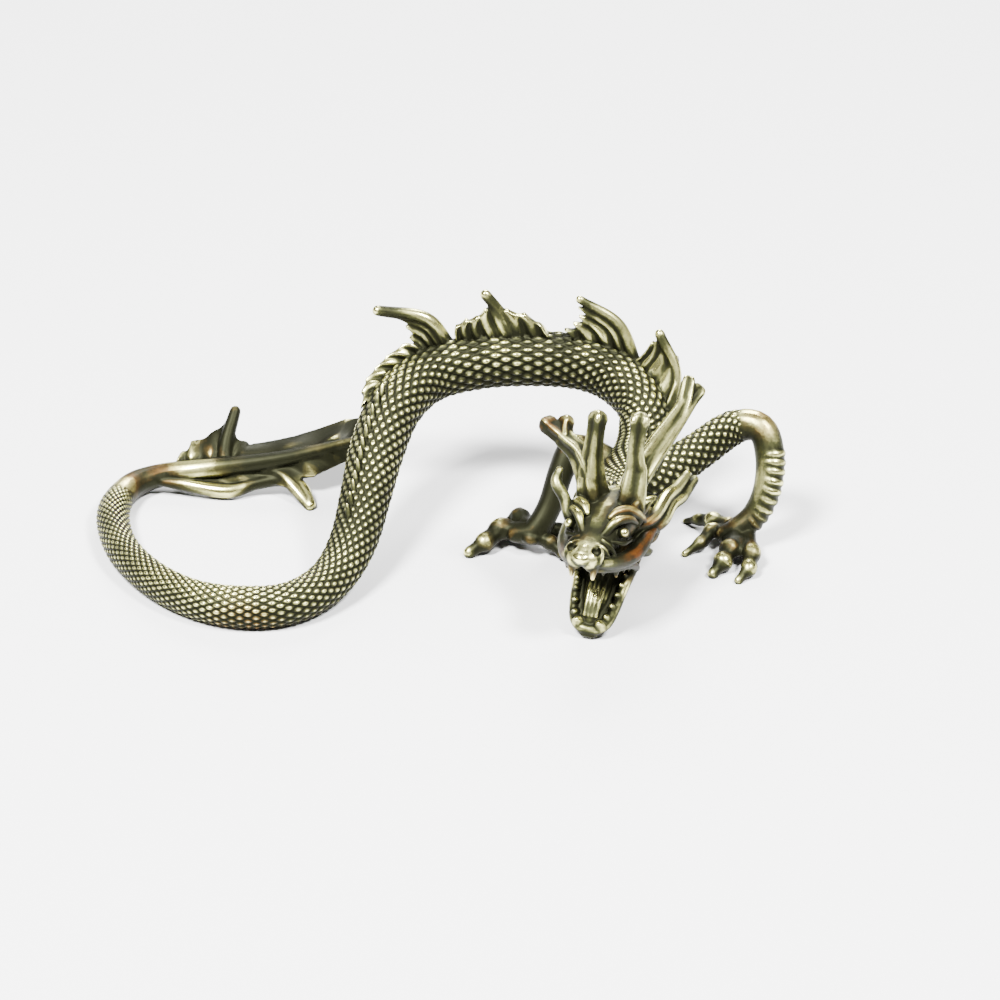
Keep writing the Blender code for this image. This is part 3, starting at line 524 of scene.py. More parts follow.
# %% Lobes and edges of the fins
LOBES = {
    "upright lobe of the tail fin": [
        (-34.6, 19.9, 4.2, 1.4), (-33.9, 23.0, 7.0, 1.2), (-32.6, 26.7, 10.7, 0.9),
    ],
    "small front lobe": [
        (-41.2, 20.0, 3.0, 1.3), (-37.4, 18.6, 2.0, 0.9), (-34.1, 17.4, 0.7, 0.7),
    ],
    "large front lobe": [
        (-28.6, 19.6, 4.8, 0.8), (-25.0, 18.6, 3.6, 1.0), (-20.5, 14.0, 0.7, 0.8),
    ],
    "front edge of the tail fin": [
        (-44.5, 19.2, 2.8, 0.6), (-41.0, 18.3, 2.3, 1.0), (-33.6, 17.1, 1.7, 1.15),
        (-29.2, 18.2, 2.4, 1.0), (-24.8, 18.6, 3.0, 1.15), (-22.0, 17.4, 2.2, 1.1),
        (-20.4, 14.2, 0.9, 0.85),
    ],
    "edge of the first fin": [
        (1.2, 22.6, 23.4, 1.2), (-2.4, 22.8, 28.9, 1.1), (-9.7, 22.8, 30.3, 0.85),
    ],
    "edge of the second fin": [
        (11.4, 23.0, 24.4, 1.0), (9.2, 23.0, 29.6, 0.9), (6.8, 23.0, 32.9, 0.85),
    ],
    "edge of the third fin": [
        (30.4, 22.0, 21.4, 1.0), (27.2, 22.8, 27.9, 0.95), (21.2, 23.2, 32.0, 0.65),
    ],
    "edge of the fourth fin": [
        (32.8, 14.2, 15.4, 0.9), (36.0, 17.6, 22.0, 0.8), (33.4, 20.4, 27.5, 0.8),
    ],
}


def lobe_form(root, *others):
    return tube([(*rooted(root[:3]), root[3]), *others])


fins = [fin_form(rays, name in SOFT_FINS) for name, rays in FINS.items()]
fins += [lobe_form(*rows) for rows in LOBES.values()]
print(len(fins), "forms of the fins")

# %% [markdown]
# A row of small thorns runs up the back of the leg, in line with the spine. Each is a short tube
# that thins towards its tip and leans up the leg. A repeated cone would do as well, but the tube
# is at hand and gives the teeth of the jaws too.

# %% Thorns of the leg
THORNS_FROM, THORNS_TO, THORNS = 0.53, 0.63, 12  # shares of the body's length, and how many
THORN_STAND, THORN_LEAN, THORN_SUNK = 1.02, 1.1, 0.4  # millimetres
THORN_RADIUS = 0.55
TAPER_MIDDLE, TAPER_TIP = 0.7, 0.3  # shares of the root's radius
THORN_STEP, THORN_SIDES = 0.4, 10
AHEAD_ROWS = 3  # rows of the body that the way ahead is read over


def thorn(root, tip, radius):
    """A pointed tube, for a thorn or a tooth."""
    middle = (root + tip) / 2
    rows = [(*root, radius), (*middle, radius * TAPER_MIDDLE), (*tip, radius * TAPER_TIP)]
    return tube(rows, THORN_STEP, THORN_SIDES)


thorns = []
for i in range(THORNS):
    share = THORNS_FROM + (THORNS_TO - THORNS_FROM) * i / (THORNS - 1)
    at = round(share * (SPINE_STEPS - 1))
    centre, radius = Vector(spine[at][:3]), spine[at][3]
    ahead = (Vector(spine[at + AHEAD_ROWS][:3]) - centre).normalized()
    back = Vector(spine[at][4:7])
    back = (back - ahead * back.dot(ahead)).normalized()
    root = centre + back * (radius - THORN_SUNK) - ahead * THORN_SUNK
    tip = centre + back * (radius + THORN_STAND) + ahead * THORN_LEAN
    thorns.append(thorn(root, tip, THORN_RADIUS))
print(len(thorns), "thorns")

# %% [markdown]
# The right arm bears scales from the shoulder to the elbow and is smooth below it, so it is two
# tubes, of which one sinks into the other. The left arm is one smooth tube. One tube with scales
# that fade out at the elbow would do as well, but a smooth forearm needs far fewer faces.

# %% Arms
RIGHT_ARM = [
    (29.6, 3.6, 11.2, 2.4),
    (33.0, 4.8, 11.3, 3.0),
    (38.8, 7.9, 13.8, 2.8),
    (44.4, 10.2, 16.8, 2.6),
    (48.4, 9.0, 17.4, 2.3),
    (49.8, 6.9, 14.0, 2.25),
    (49.4, 4.4, 9.6, 2.1),
    (47.6, 3.2, 5.6, 1.95),
    (44.6, 2.1, 3.3, 1.9),
    (42.4, 2.0, 2.9, 1.2),
]
LEFT_ARM = [
    (25.6, 8.2, 12.0, 2.2),
    (22.8, 9.4, 12.6, 2.5),
    (20.0, 8.4, 14.0, 2.2),
    (18.2, 6.2, 11.2, 2.0),
    (16.5, 3.6, 6.8, 1.9),
    (14.2, 1.6, 3.7, 1.9),
    (11.4, 1.8, 3.0, 1.4),
]
ARM_STEPS = 200
SCALES_END = 0.5  # share of the right arm, from the shoulder, that bears scales
ARM_SCALE = 1.9  # length of its scales
ARM_PAIRS, ARM_FADE = 12, 0.2
ELBOW_BLEND, ELBOW_SUNK = 14, 0.88
EVERY = 4  # a smooth tube needs only every fourth row
ARM_STEP, ARM_SIDES = 0.8, 20

arm_curve = smooth_curve(RIGHT_ARM, ARM_STEPS)
elbow = round(SCALES_END * ARM_STEPS)
above = np.tile([0, 0, 1, ARM_SCALE], (elbow, 1))
upper_arm = np.column_stack([arm_curve[:elbow], above])[::-1]
scaled_arm = scale_tube(sinking(upper_arm, ELBOW_BLEND, ELBOW_SUNK), ARM_PAIRS, ARM_FADE)
lower_arm = sinking(arm_curve[elbow - 2 * BLEND :])[::EVERY]
arm_forms = [tube(rows, ARM_STEP, ARM_SIDES) for rows in (lower_arm, LEFT_ARM)]
print("scaled upper arm and", len(arm_forms), "smooth arm tubes")

# %% [markdown]
# Broad plates lie across the outer side of the right forearm, like those on a crab's leg. Each is
# a bent tube, half sunk in the arm, that is thickest at its middle and points down the arm.

# %% Plates of the forearm
PLATES, PLATES_FROM, PLATES_TO = 9, 0.61, 0.86  # how many, and shares of the arm's length
PLATE_RADIUS, PLATE_SUNK, PLATE_POINT = 0.85, 0.5, 0.5
PLATE_WRAP = 1.3  # radians round the arm, to each side
PLATE_ROWS, PLATE_EDGE = 7, 0.4  # rows of a plate, and what its ends keep of its radius
PLATE_STEP, PLATE_SIDES = 0.4, 10
OUTER = Vector((0.6, -0.8, 0))

for share in np.linspace(PLATES_FROM, PLATES_TO, PLATES):
    row, ahead = arm_curve[round(share * ARM_STEPS)], arm_curve[round(share * ARM_STEPS) + 1]
    centre, radius = Vector(row[:3]), row[3]
    along = (Vector(ahead[:3]) - centre).normalized()
    outer = (OUTER - along * OUTER.dot(along)).normalized()
    side = along.cross(outer)
    rows = []
    for turn in np.linspace(-PLATE_WRAP, PLATE_WRAP, PLATE_ROWS):
        point = centre + (outer * math.cos(turn) + side * math.sin(turn)) * (radius - PLATE_SUNK)
        point += along * PLATE_POINT * math.cos(turn)
        thickness = PLATE_EDGE + (1 - PLATE_EDGE) * math.cos(turn)
        rows.append((*point, PLATE_RADIUS * thickness))
    arm_forms.append(tube(rows, PLATE_STEP, PLATE_SIDES))
print(PLATES, "plates")

# %% [markdown]
# Each hand has four digits. A digit is a string of knuckles with a claw at its end, so its rows
# are the knuckles, and a thinner neck is put in between every two. The palm is a flattened ball.

# %% Digits and palms
DIGITS = {
    "right thumb": [
        (44.0, 3.8, 3.2, 1.5), (41.5, 6.8, 2.4, 1.5), (39.4, 8.4, 1.7, 1.0),
        (37.6, 9.6, 0.7, 0.5),
    ],
    "right first": [
        (43.6, 2.8, 3.0, 1.4), (41.2, 3.2, 2.8, 1.3), (39.4, 1.3, 1.7, 1.1),
        (37.0, -0.2, 0.7, 0.6),
    ],
    "right second": [
        (44.6, 0.6, 3.0, 1.5), (43.6, -2.2, 2.7, 1.7), (42.4, -4.6, 1.9, 1.6),
        (40.9, -6.3, 0.9, 0.9),
    ],
    "right third": [
        (46.4, 1.4, 3.2, 1.4), (46.8, -3.2, 2.6, 1.5), (46.2, -6.2, 1.7, 1.3),
        (44.6, -8.0, 0.7, 0.7),
    ],
    "left first": [
        (12.8, 1.9, 3.2, 1.8), (9.2, 3.4, 2.9, 1.9), (6.6, 0.9, 2.0, 1.6),
        (4.4, -0.3, 1.0, 1.0),
    ],
    "left second": [
        (13.2, 2.6, 3.6, 1.5), (12.0, 5.8, 3.4, 1.8), (9.6, 5.6, 1.9, 1.2),
        (7.8, 4.6, 0.9, 0.7),
    ],
    "left third": [
        (14.4, 1.0, 3.2, 1.4), (16.6, 0.0, 2.6, 1.3), (18.6, -1.6, 1.7, 1.1),
        (20.0, -3.0, 0.8, 0.7),
    ],
    "left thumb": [
        (15.0, 2.4, 3.6, 1.4), (18.0, 3.4, 2.7, 1.3), (20.0, 3.2, 1.6, 1.0),
        (21.4, 2.2, 0.8, 0.6),
    ],
}
DIGIT_NECK = 0.8  # a neck's share of the mean radius of its knuckles
DIGIT_STEP, DIGIT_SIDES = 0.4, 14
PALMS = [((44.7, -0.4, 2.6), 2.1), ((13.8, 1.8, 3.2), 1.9)]
PALM_SHAPE = (1.1, 1.5, 0.75)

digit_forms = []
for rows in DIGITS.values():
    knuckled = []
    for one, two in zip(rows, rows[1:]):
        middle = [(a + b) / 2 for a, b in zip(one, two)]
        middle[3] *= DIGIT_NECK
        knuckled += [one, middle]
    digit_forms.append(tube([*knuckled, rows[-1]], DIGIT_STEP, DIGIT_SIDES))
digit_forms += [ball(centre, radius, PALM_SHAPE) for centre, radius in PALMS]
print(len(DIGITS), "digits and", len(PALMS), "palms")

# %% [markdown]
# The head is turned and tilted against the table. If its places were given on the table's axes,
# none of them would be a round number, so it has its own axes, with their zero at the hinge of
# the jaw: ahead along the snout, left, and up to the crown.

# %% The head's axes
HINGE = Vector((25.1, -14.2, 10.8))
AHEAD = Vector((-0.33, -0.908, 0.259)).normalized()
LEFT_SIDE = Vector((0.94, -0.342, 0.0)).normalized()
CROWN = AHEAD.cross(LEFT_SIDE).normalized()


def on_head(ahead, left, up):
    return HINGE + AHEAD * ahead + LEFT_SIDE * left + CROWN * up


def head_rows(rows, side=1):
    """Rows of places on the head as rows of the drawing, on its left or its right side."""
    return [(*on_head(ahead, side * left, up), radius) for ahead, left, up, radius in rows]


# %% [markdown]
# Skull, lower jaw and tongue are wider than they are high, so their rings are ovals: a row gives
# how far ahead it is, the height of its middle, its half width and its half height. The jaw hangs
# open, and its rings face the way that it does.

# %% Skull, jaw and tongue
SKULL = [
    (-5.0, 3.8, 2.6, 2.6),
    (-2.8, 4.5, 3.6, 3.6),
    (0.6, 4.7, 4.5, 3.9),
    (3.6, 4.3, 4.6, 3.6),
    (6.4, 3.5, 4.0, 2.9),
    (8.8, 2.5, 3.2, 2.2),
    (11.0, 1.9, 2.7, 1.7),
    (12.8, 1.6, 2.3, 1.5),
    (13.8, 1.5, 1.6, 1.1),
]
LOWER_JAW = [
    (-2.6, 2.6, 3.9, 2.4),
    (0.4, -0.6, 3.8, 1.5),
    (2.0, -3.8, 3.4, 0.9),
    (3.8, -6.8, 3.1, 0.8),
    (5.5, -9.4, 2.8, 0.9),
    (6.1, -10.4, 2.4, 0.8),
]
JAW_FACING = (0.85, 0.525)
TONGUE = [
    (1.0, -1.2, 1.6, 1.0), (3.0, -4.0, 2.0, 0.8), (4.8, -7.0, 1.8, 0.7), (6.2, -9.4, 1.2, 0.5),
]
SKULL_RINGS, SKULL_SIDES = 30, 28
JAW_RINGS, TONGUE_RINGS, JAW_SIDES = 24, 20, 24


def oval_form(rows, facing, count, sides):
    """A tube of oval rings on the middle of the head."""
    rows = [(*on_head(ahead, 0, up), wide, high) for ahead, up, wide, high in rows]
    rows = rounded_ends(smooth_curve(rows, count))
    return loft(ring_places(rows, [facing] * len(rows)), circle(sides))[0]


inner = AHEAD * JAW_FACING[0] + CROWN * JAW_FACING[1]
head_forms = [
    oval_form(SKULL, CROWN, SKULL_RINGS, SKULL_SIDES),
    oval_form(LOWER_JAW, inner, JAW_RINGS, JAW_SIDES),
    oval_form(TONGUE, inner, TONGUE_RINGS, JAW_SIDES),
]
print(len(head_forms), "oval forms of the head")

# %% [markdown]
# A bony ridge runs down the nose, a mane of pointed locks hangs behind the skull, and the tongue
# has four lengthwise ribs. All are tubes. The locks stand on a circle round the back of the head.

# %% Ridge of the nose, mane and ribs of the tongue
BRIDGE = [(13.8, 0, 1.4, 1.0), (13.0, 0, 2.2, 1.0), (11.6, 0, 2.7, 0.7), (10.4, 0, 3.0, 0.4)]
MANE_LOCKS, MANE_FROM, MANE_TO = 4, 65, 150  # locks a side; degrees from the crown
MANE_REACH, SHORT_LOCK = 7.0, 0.8  # every second lock is shorter
MANE_CENTRE = (-2.4, 4.5)  # ahead and up
MANE_ROWS = ((0, 0.9), (0.4, 1.1), (0.75, 0.75), (1, 0.25))  # share of the lock, radius
MANE_OUT, MANE_BULGE, MANE_CURL = 2.2, 0.7, 0.35  # millimetres, a power and radians
MANE_STEP, MANE_SIDES = 0.4, 12
TONGUE_RIBS = (-1.35, -0.45, 0.45, 1.35)  # to the left of the middle
RIB_RADIUS, RIB_CLOSING = 0.36, 0.06  # the ribs run together towards the tip
RIB_OUT = (0.75, 0.45)  # ahead and up, as shares of the tongue's half thickness
HEAD_STEP, RIB_SIDES = 0.3, 10

head_forms.append(tube(head_rows(BRIDGE), HEAD_STEP))
mane = np.linspace(MANE_FROM, MANE_TO, MANE_LOCKS)
for i, degrees in enumerate([*mane, *-mane]):
    turn = math.radians(degrees)
    reach = MANE_REACH * (SHORT_LOCK if i % 2 else 1)
    rows = []
    for share, radius in MANE_ROWS:
        out = MANE_OUT + MANE_OUT * math.sin(math.pi * share) ** MANE_BULGE
        left = out * math.sin(turn + MANE_CURL * share)
        up = MANE_CENTRE[1] + out * math.cos(turn + MANE_CURL * share)
        rows.append((MANE_CENTRE[0] - reach * share, left, up, radius))
    head_forms.append(tube(head_rows(rows), MANE_STEP, MANE_SIDES))
for left in TONGUE_RIBS:
    rows = [
        (ahead + RIB_OUT[0] * high, left * (1 - RIB_CLOSING * ahead), up + RIB_OUT[1] * high,
         RIB_RADIUS)
        for ahead, up, _, high in TONGUE
    ]
    head_forms.append(tube(head_rows(rows), HEAD_STEP, RIB_SIDES))
print(len(mane) * 2, "locks of the mane,", len(TONGUE_RIBS), "ribs of the tongue")

# %% [markdown]
# The face is a skull with ridges laid on it: brows, lids, cheeks, lips, wrinkles, ears and locks.
# A sculptor would press them on as strings of clay, and tubes do the same here. Each row is a
# place ahead, to the left and up from the hinge, with a radius. The right side is the mirror.

# %% Ridges of the face
RIDGES = {
    "brow": [
        (9.7, 1.3, 3.6, 0.45), (9.0, 2.0, 4.7, 0.6), (8.0, 2.9, 5.9, 0.72),
        (6.3, 4.2, 6.1, 0.65), (4.9, 4.9, 5.3, 0.4),
    ],
    "upper brow": [
        (7.4, 1.8, 6.2, 0.5), (6.4, 2.6, 6.8, 0.85), (4.8, 3.9, 6.8, 0.95),
        (3.2, 4.9, 5.9, 0.75), (2.2, 5.4, 5.0, 0.4),
    ],
    "flame of the brow": [(5.0, 3.9, 6.6, 0.7), (3.4, 4.3, 7.8, 0.5), (2.0, 4.5, 8.6, 0.2)],
    "second flame": [(3.4, 4.8, 6.0, 0.6), (1.8, 5.3, 6.8, 0.45), (0.4, 5.5, 7.4, 0.2)],
    "frown": [(8.0, 1.4, 4.7, 0.4), (9.3, 1.25, 4.05, 0.5), (10.6, 0.9, 3.3, 0.4)],
    "lower lid": [(9.2, 3.0, 3.2, 0.25), (8.2, 4.2, 2.9, 0.4), (6.4, 4.9, 3.1, 0.2)],
    "cheek": [
        (12.4, 2.4, 0.6, 0.7), (10.6, 3.2, 0.4, 0.95), (8.0, 4.2, 0.3, 1.15),
        (5.6, 5.1, 0.7, 1.25), (3.4, 5.6, 1.6, 1.2), (1.4, 5.9, 2.6, 0.95),
        (-0.8, 6.3, 3.3, 0.4),
    ],
    "upper lip": [
        (13.3, 1.0, -0.1, 0.5), (12.2, 2.2, -0.3, 0.55), (9.4, 3.4, -0.7, 0.6),
        (6.0, 4.5, -0.9, 0.6), (3.2, 4.7, -1.6, 0.6), (0.8, 4.5, -2.6, 0.6),
    ],
    "lower lip": [
        (-0.6, 4.1, -0.8, 0.8), (1.0, 3.9, -3.0, 0.85), (2.9, 3.4, -5.4, 0.85),
        (4.7, 3.1, -7.9, 0.8), (6.1, 2.5, -10.0, 0.8), (6.8, 1.4, -11.0, 0.8),
        (6.9, 0.0, -11.3, 0.8),
    ],
    "wrinkle of the nose": [(11.5, 1.4, 3.1, 0.25), (11.3, 2.3, 2.5, 0.4), (10.9, 3.1, 1.3, 0.25)],
    "second wrinkle": [(10.4, 1.8, 3.5, 0.25), (10.1, 2.8, 2.7, 0.4), (9.7, 3.6, 1.5, 0.25)],
    "wing of the nostril": [
        (12.6, 2.2, 2.8, 0.4), (13.1, 2.5, 1.9, 0.5), (13.3, 2.3, 1.0, 0.5),
    ],
    "ear": [(1.2, 4.6, 3.0, 1.0), (-0.2, 5.0, 4.4, 0.8), (-1.6, 4.9, 6.0, 0.3)],
    "lock above the cheek": [(0.2, 4.6, 3.4, 1.1), (-2.0, 5.7, 3.6, 0.8), (-4.4, 6.2, 4.4, 0.3)],
    "lock of the cheek": [(-0.4, 4.4, 1.6, 1.2), (-2.4, 5.4, 1.4, 0.9), (-4.8, 5.8, 1.8, 0.3)],
    "lock of the jaw": [(-0.8, 4.0, -0.2, 1.1), (-2.8, 4.8, -1.0, 0.8), (-4.8, 5.0, -1.4, 0.3)],
}
RIDGE_SIDES = 12
print(len(RIDGES), "ridges on each side of the face")

# %% [markdown]
# The eyes and the pads of the nose are balls, and the teeth are thorns that start inside the
# gums. A tooth's row gives its place ahead, to the left and up, its length and its radius.

# %% Eyes, nose and teeth
EYE, EYE_RADIUS = (7.8, 4.05, 4.35), 0.82
NOSE_PAD, NOSE_PAD_RADIUS = (13.1, 1.0, 1.2), 1.55
NOSE_HOLE, NOSE_HOLE_RADIUS = (13.4, 1.85, 2.6), 0.72
UPPER_TEETH = [
    (13.0, 1.6, 0.0, 1.6, 0.95), (11.2, 2.6, 0.0, 1.3, 0.6), (8.4, 3.7, -0.4, 1.6, 0.85),
    (6.4, 4.2, -0.6, 1.2, 0.6), (4.8, 4.5, -1.0, 1.0, 0.5),
]
LOWER_TEETH = [
    (6.9, 1.7, -10.3, 1.1, 1.0), (6.3, 2.4, -9.2, 0.9, 0.7), (5.4, 2.8, -7.7, 0.9, 0.6),
    (4.4, 3.1, -6.2, 0.8, 0.55), (3.4, 3.3, -4.9, 0.8, 0.5), (2.4, 3.5, -3.6, 0.8, 0.45),
]
TOOTH_SUNK = 0.9

for side in (-1, 1):
    for rows in RIDGES.values():
        head_forms.append(tube(head_rows(rows, side), HEAD_STEP, RIDGE_SIDES))
    for (ahead, left, up), radius in (EYE, EYE_RADIUS), (NOSE_PAD, NOSE_PAD_RADIUS):
        head_forms.append(ball(on_head(ahead, side * left, up), radius))
    for ahead, left, up, length, radius in UPPER_TEETH:
        root = on_head(ahead, side * left, up + TOOTH_SUNK)
        head_forms.append(thorn(root, on_head(ahead, side * left, up - length), radius))
    for ahead, left, up, length, radius in LOWER_TEETH:
        root = on_head(ahead, side * left, up)
        reach = [length * share for share in JAW_FACING]
        tip = on_head(ahead + reach[0], side * left, up + reach[1])
        head_forms.append(thorn(root, tip, radius))
print(len(head_forms), "forms of the head")

# %% [markdown]
# The antlers branch, and each branch has lengthwise grooves, or flutes. So a branch is a tube
# whose ring is a circle that swells and shrinks four times. Two small balls thicken the tips of
# the right antler. The whiskers wave back from the cheeks as thin round tubes.

# %% Antlers and whiskers
ANTLERS = {
    "right stem": [
        (22.9, -14.4, 16.6, 2.3), (22.6, -14.2, 18.4, 2.2), (22.2, -13.6, 20.8, 1.9),
    ],
    "right low tine": [
        (22.4, -14.0, 19.2, 1.8), (21.6, -12.4, 22.2, 1.7), (20.2, -9.9, 24.0, 1.45),
        (18.2, -7.8, 25.0, 1.3),
    ],
    "right tip": [(18.4, -8.0, 25.0, 1.2), (16.6, -6.4, 25.8, 1.2), (16.0, -5.8, 26.1, 1.3)],
    "right tip's other side": [
        (18.4, -8.0, 25.0, 1.2), (18.4, -6.6, 25.9, 1.1), (18.6, -5.8, 26.5, 1.1),
    ],
    "right high tine": [
        (22.5, -14.0, 19.0, 1.9), (22.2, -13.0, 22.4, 1.7), (22.5, -11.8, 25.6, 1.25),
        (22.9, -10.8, 28.4, 1.15), (23.1, -10.4, 29.6, 1.3),
    ],
    "left stem": [
        (27.6, -15.8, 16.6, 2.3), (28.2, -14.8, 19.8, 2.0), (28.7, -13.4, 22.8, 1.6),
    ],
    "left high tine": [
        (28.6, -13.6, 22.2, 1.6), (28.6, -12.8, 25.6, 1.2), (28.9, -12.0, 28.6, 1.25),
        (29.1, -11.6, 29.7, 1.5),
    ],
    "left low tine": [
        (28.3, -13.8, 20.8, 1.9), (31.0, -9.4, 23.0, 1.8), (34.6, -3.4, 25.2, 1.5),
        (36.8, 0.2, 26.6, 1.25), (38.1, 1.8, 27.5, 1.2),
    ],
    "left prong": [(34.6, -3.4, 25.2, 1.3), (36.0, -0.6, 26.8, 1.1), (36.8, 2.2, 28.9, 1.0)],
}
# A groove of the left antler faces the photo's side, and a ridge of the right one does.
FLUTES, LEFT_DEPTH, RIGHT_DEPTH = 4, 0.24, -0.18
FLUTES_FACE = (0, -1, 0.5)
ANTLER_STEP, ANTLER_SIDES = 0.5, 32
WHISKER_STEP, WHISKER_SIDES = 0.4, 10
KNOBS = [(16.0, -5.8, 26.0, 1.35), (18.7, -5.8, 26.4, 1.2)]
WHISKERS = {
    "left upper": [
        (28.1, -17.0, 14.8, 0.9), (31.4, -13.6, 15.0, 0.9), (33.4, -8.6, 15.4, 1.0),
        (35.0, -5.2, 14.9, 0.9), (36.8, -1.8, 15.4, 0.7),
    ],
    "left lower": [
        (28.3, -16.9, 13.8, 0.9), (32.4, -13.2, 13.6, 0.9), (34.2, -9.0, 14.2, 0.9),
        (36.0, -5.0, 13.5, 0.9), (38.0, -1.2, 14.2, 0.7),
    ],
    "right": [
        (22.2, -20.0, 14.8, 0.8), (19.2, -18.0, 17.0, 0.8), (18.4, -14.6, 18.6, 0.9),
        (17.2, -13.0, 20.4, 0.9), (17.6, -11.8, 21.8, 0.6),
    ],
}


def fluted_circle(sides, flutes, depth):
    """A circle with lengthwise ridges and grooves."""
    return [
        point * (1 - depth * math.cos(flutes * 2 * math.pi * i / sides))
        for i, point in enumerate(circle(sides))
    ]


def antler(rows, depth):
    rings = even_rings(rows, ANTLER_STEP)
    outline = fluted_circle(ANTLER_SIDES, FLUTES, depth)
    return loft(ring_places(rings, [FLUTES_FACE] * len(rings)), outline)[0]


antler_forms = [
    antler(rows, RIGHT_DEPTH if name.startswith("right") else LEFT_DEPTH)
    for name, rows in ANTLERS.items()
]
antler_forms += [ball(row[:3], row[3]) for row in KNOBS]
antler_forms += [tube(rows, WHISKER_STEP, WHISKER_SIDES) for rows in WHISKERS.values()]
print(len(antler_forms), "forms of the antlers and whiskers")

# %% [markdown]
# A casting has no seams: where a fin grows out of the back, the metal runs round the corner in a
# small fillet. So all the smooth forms are joined into one mesh, which a voxel remesh turns into
# one skin. Smoothing takes off its steps, and Decimate keeps its triangles where it bends.

# %% Join the smooth forms into one skin
SMOOTHING, SMOOTH_FACTOR = 3, 0.5
LIMB_VOXEL, HEAD_VOXEL = 0.15 * UNIT, 0.11 * UNIT
LIMB_TRIANGLES, HEAD_TRIANGLES = 48000, 58000
TAIL_EVERY = 3  # the smooth tail needs only every third row


def new_object(bm, name):
    mesh = bpy.data.meshes.new(name)
    bm.to_mesh(mesh)
    bm.free()
    obj = bpy.data.objects.new(name, mesh)
    bpy.context.scene.collection.objects.link(obj)
    return obj


def settle(obj):
    """Turns the object's modifiers into its mesh."""
    graph = bpy.context.evaluated_depsgraph_get()
    finished = bpy.data.meshes.new_from_object(obj.evaluated_get(graph))
    obj.modifiers.clear()
    before, obj.data = obj.data, finished
    bpy.data.meshes.remove(before)
    return obj


def joined(forms, name):
    """One object that holds all the forms."""
    whole = bmesh.new()
    for form in forms:
        part = bpy.data.meshes.new("part")
        form.to_mesh(part)
        form.free()
        whole.from_mesh(part)
        bpy.data.meshes.remove(part)
    return new_object(whole, name)


def one_skin(forms, name, voxel, triangles):
    """The forms as one closed skin with about this many triangles."""
    obj = joined(forms, name)
    skin = obj.modifiers.new("skin", "REMESH")
    skin.mode = "VOXEL"
    skin.voxel_size = voxel
    smooth = obj.modifiers.new("smooth", "SMOOTH")
    smooth.factor = SMOOTH_FACTOR
    smooth.iterations = SMOOTHING
    settle(obj)
    faces = 2 * len(obj.data.polygons)
    thin = obj.modifiers.new("thin", "DECIMATE")
    thin.ratio = min(1, triangles / faces)
    settle(obj)
    print(name, faces, "->", len(obj.data.polygons), "triangles")
    return obj


tail = tube(sinking(spine[: tail_end + BLEND, :4][::-1])[::TAIL_EVERY])
limbs = [*fins, tail, *thorns, *arm_forms, *digit_forms]
limbs = one_skin(limbs, "limbs", LIMB_VOXEL, LIMB_TRIANGLES)
head = one_skin([*head_forms, *antler_forms], "head", HEAD_VOXEL, HEAD_TRIANGLES)

# %% [markdown]
# The scaled tubes are too fine for the voxels, so they are united with that skin by a Boolean,
# which keeps every bead. Two balls are cut out for the nostrils, and what reaches below the table
# is cut off flat, as the founder files the foot of the real one.

# %% Unite everything and file the foot
GROUND = 0.4  # metres

look = new_object(scaled, "dragon_body")
ground = bmesh.new()
bmesh.ops.create_cube(ground, size=GROUND, matrix=Matrix.Translation(-UP * GROUND / 2))
ground = new_object(ground, "ground")
upper_arm = new_object(scaled_arm, "upper_arm")
ahead, left, up = NOSE_HOLE
holes = [ball(on_head(ahead, side * left, up), NOSE_HOLE_RADIUS) for side in (-1, 1)]
holes = joined(holes, "holes")
for other, operation in (
    (upper_arm, "UNION"), (limbs, "UNION"), (head, "UNION"),
    (holes, "DIFFERENCE"), (ground, "DIFFERENCE"),
):
    step = look.modifiers.new(other.name, "BOOLEAN")
    step.object = other
    step.operation = operation
    step.solver = "MANIFOLD"
settle(look)
for helper in (upper_arm, limbs, head, holes, ground):
    bpy.data.objects.remove(helper, do_unlink=True)
mesh = look.data
mesh.shade_smooth()
print("dragon:", sum(len(p.vertices) - 2 for p in mesh.polygons), "triangles")

# %% [markdown]
# The finish of the real one depends on its shape. High spots are rubbed to bright brass, and dark
# patina stays in the grooves and hollows. So two numbers are measured at each point of the mesh
# and kept as attributes: how far it stands above the smoothed surface, in millimetres, and how
# much open space it has around it. Rays that go down count as partly shut, so faces that look
# down come out darker too: that part is painted shade, not patina. A scale's relief is known from
# its making. A shader could look for corners while it renders, but attributes stay with the model
# when it is exported.

# %% Measure the relief, the open space and the painted shade of undersides
RELIEF_STEPS = 14
DRIFT_STEPS = 3 * RELIEF_STEPS  # for the slow drift that is taken off the relief
OPEN_REACH = 5 * UNIT
OPEN_START = 0.03 * UNIT  # how far off the surface a ray starts
OPEN_RAYS = 12
OPEN_BLUR = 2  # steps of averaging
OPEN_SPREAD = 0.92  # near 1, the lowest rays lie almost flat on the surface
# Rays that go down count as partly shut, which paints shade on the faces that look down.
STEEP = 3  # a ray is fully a downward one from a third of the way down
UNDERSIDE_SHADE = 0.75  # a ray that goes down counts as shut by this much


def spread(values, edges, count, times):
    """The values, averaged over neighbouring points this many times."""
    links = np.bincount(edges.ravel(), minlength=len(values))[:, None]
    for _ in range(times):
        total = np.zeros_like(values)
        for one, other in (edges.T, edges.T[::-1]):
            for k in range(count):
                total[:, k] += np.bincount(one, values[other, k], minlength=len(values))
        values = (values + total / links) / 2
    return values


def keep_measure(mesh, name, values):
    layer = mesh.attributes.new(name, "FLOAT", "POINT")
    layer.data.foreach_set("value", values.astype(np.float32))


def point_data(mesh):
    points = np.empty((len(mesh.vertices), 3), np.float32)
    mesh.vertices.foreach_get("co", points.ravel())
    normals = np.empty((len(mesh.vertices), 3), np.float32)
    mesh.vertices.foreach_get("normal", normals.ravel())
    edges = np.empty((len(mesh.edges), 2), np.int32)
    mesh.edges.foreach_get("vertices", edges.ravel())
    return points.astype(float), normals.astype(float), edges


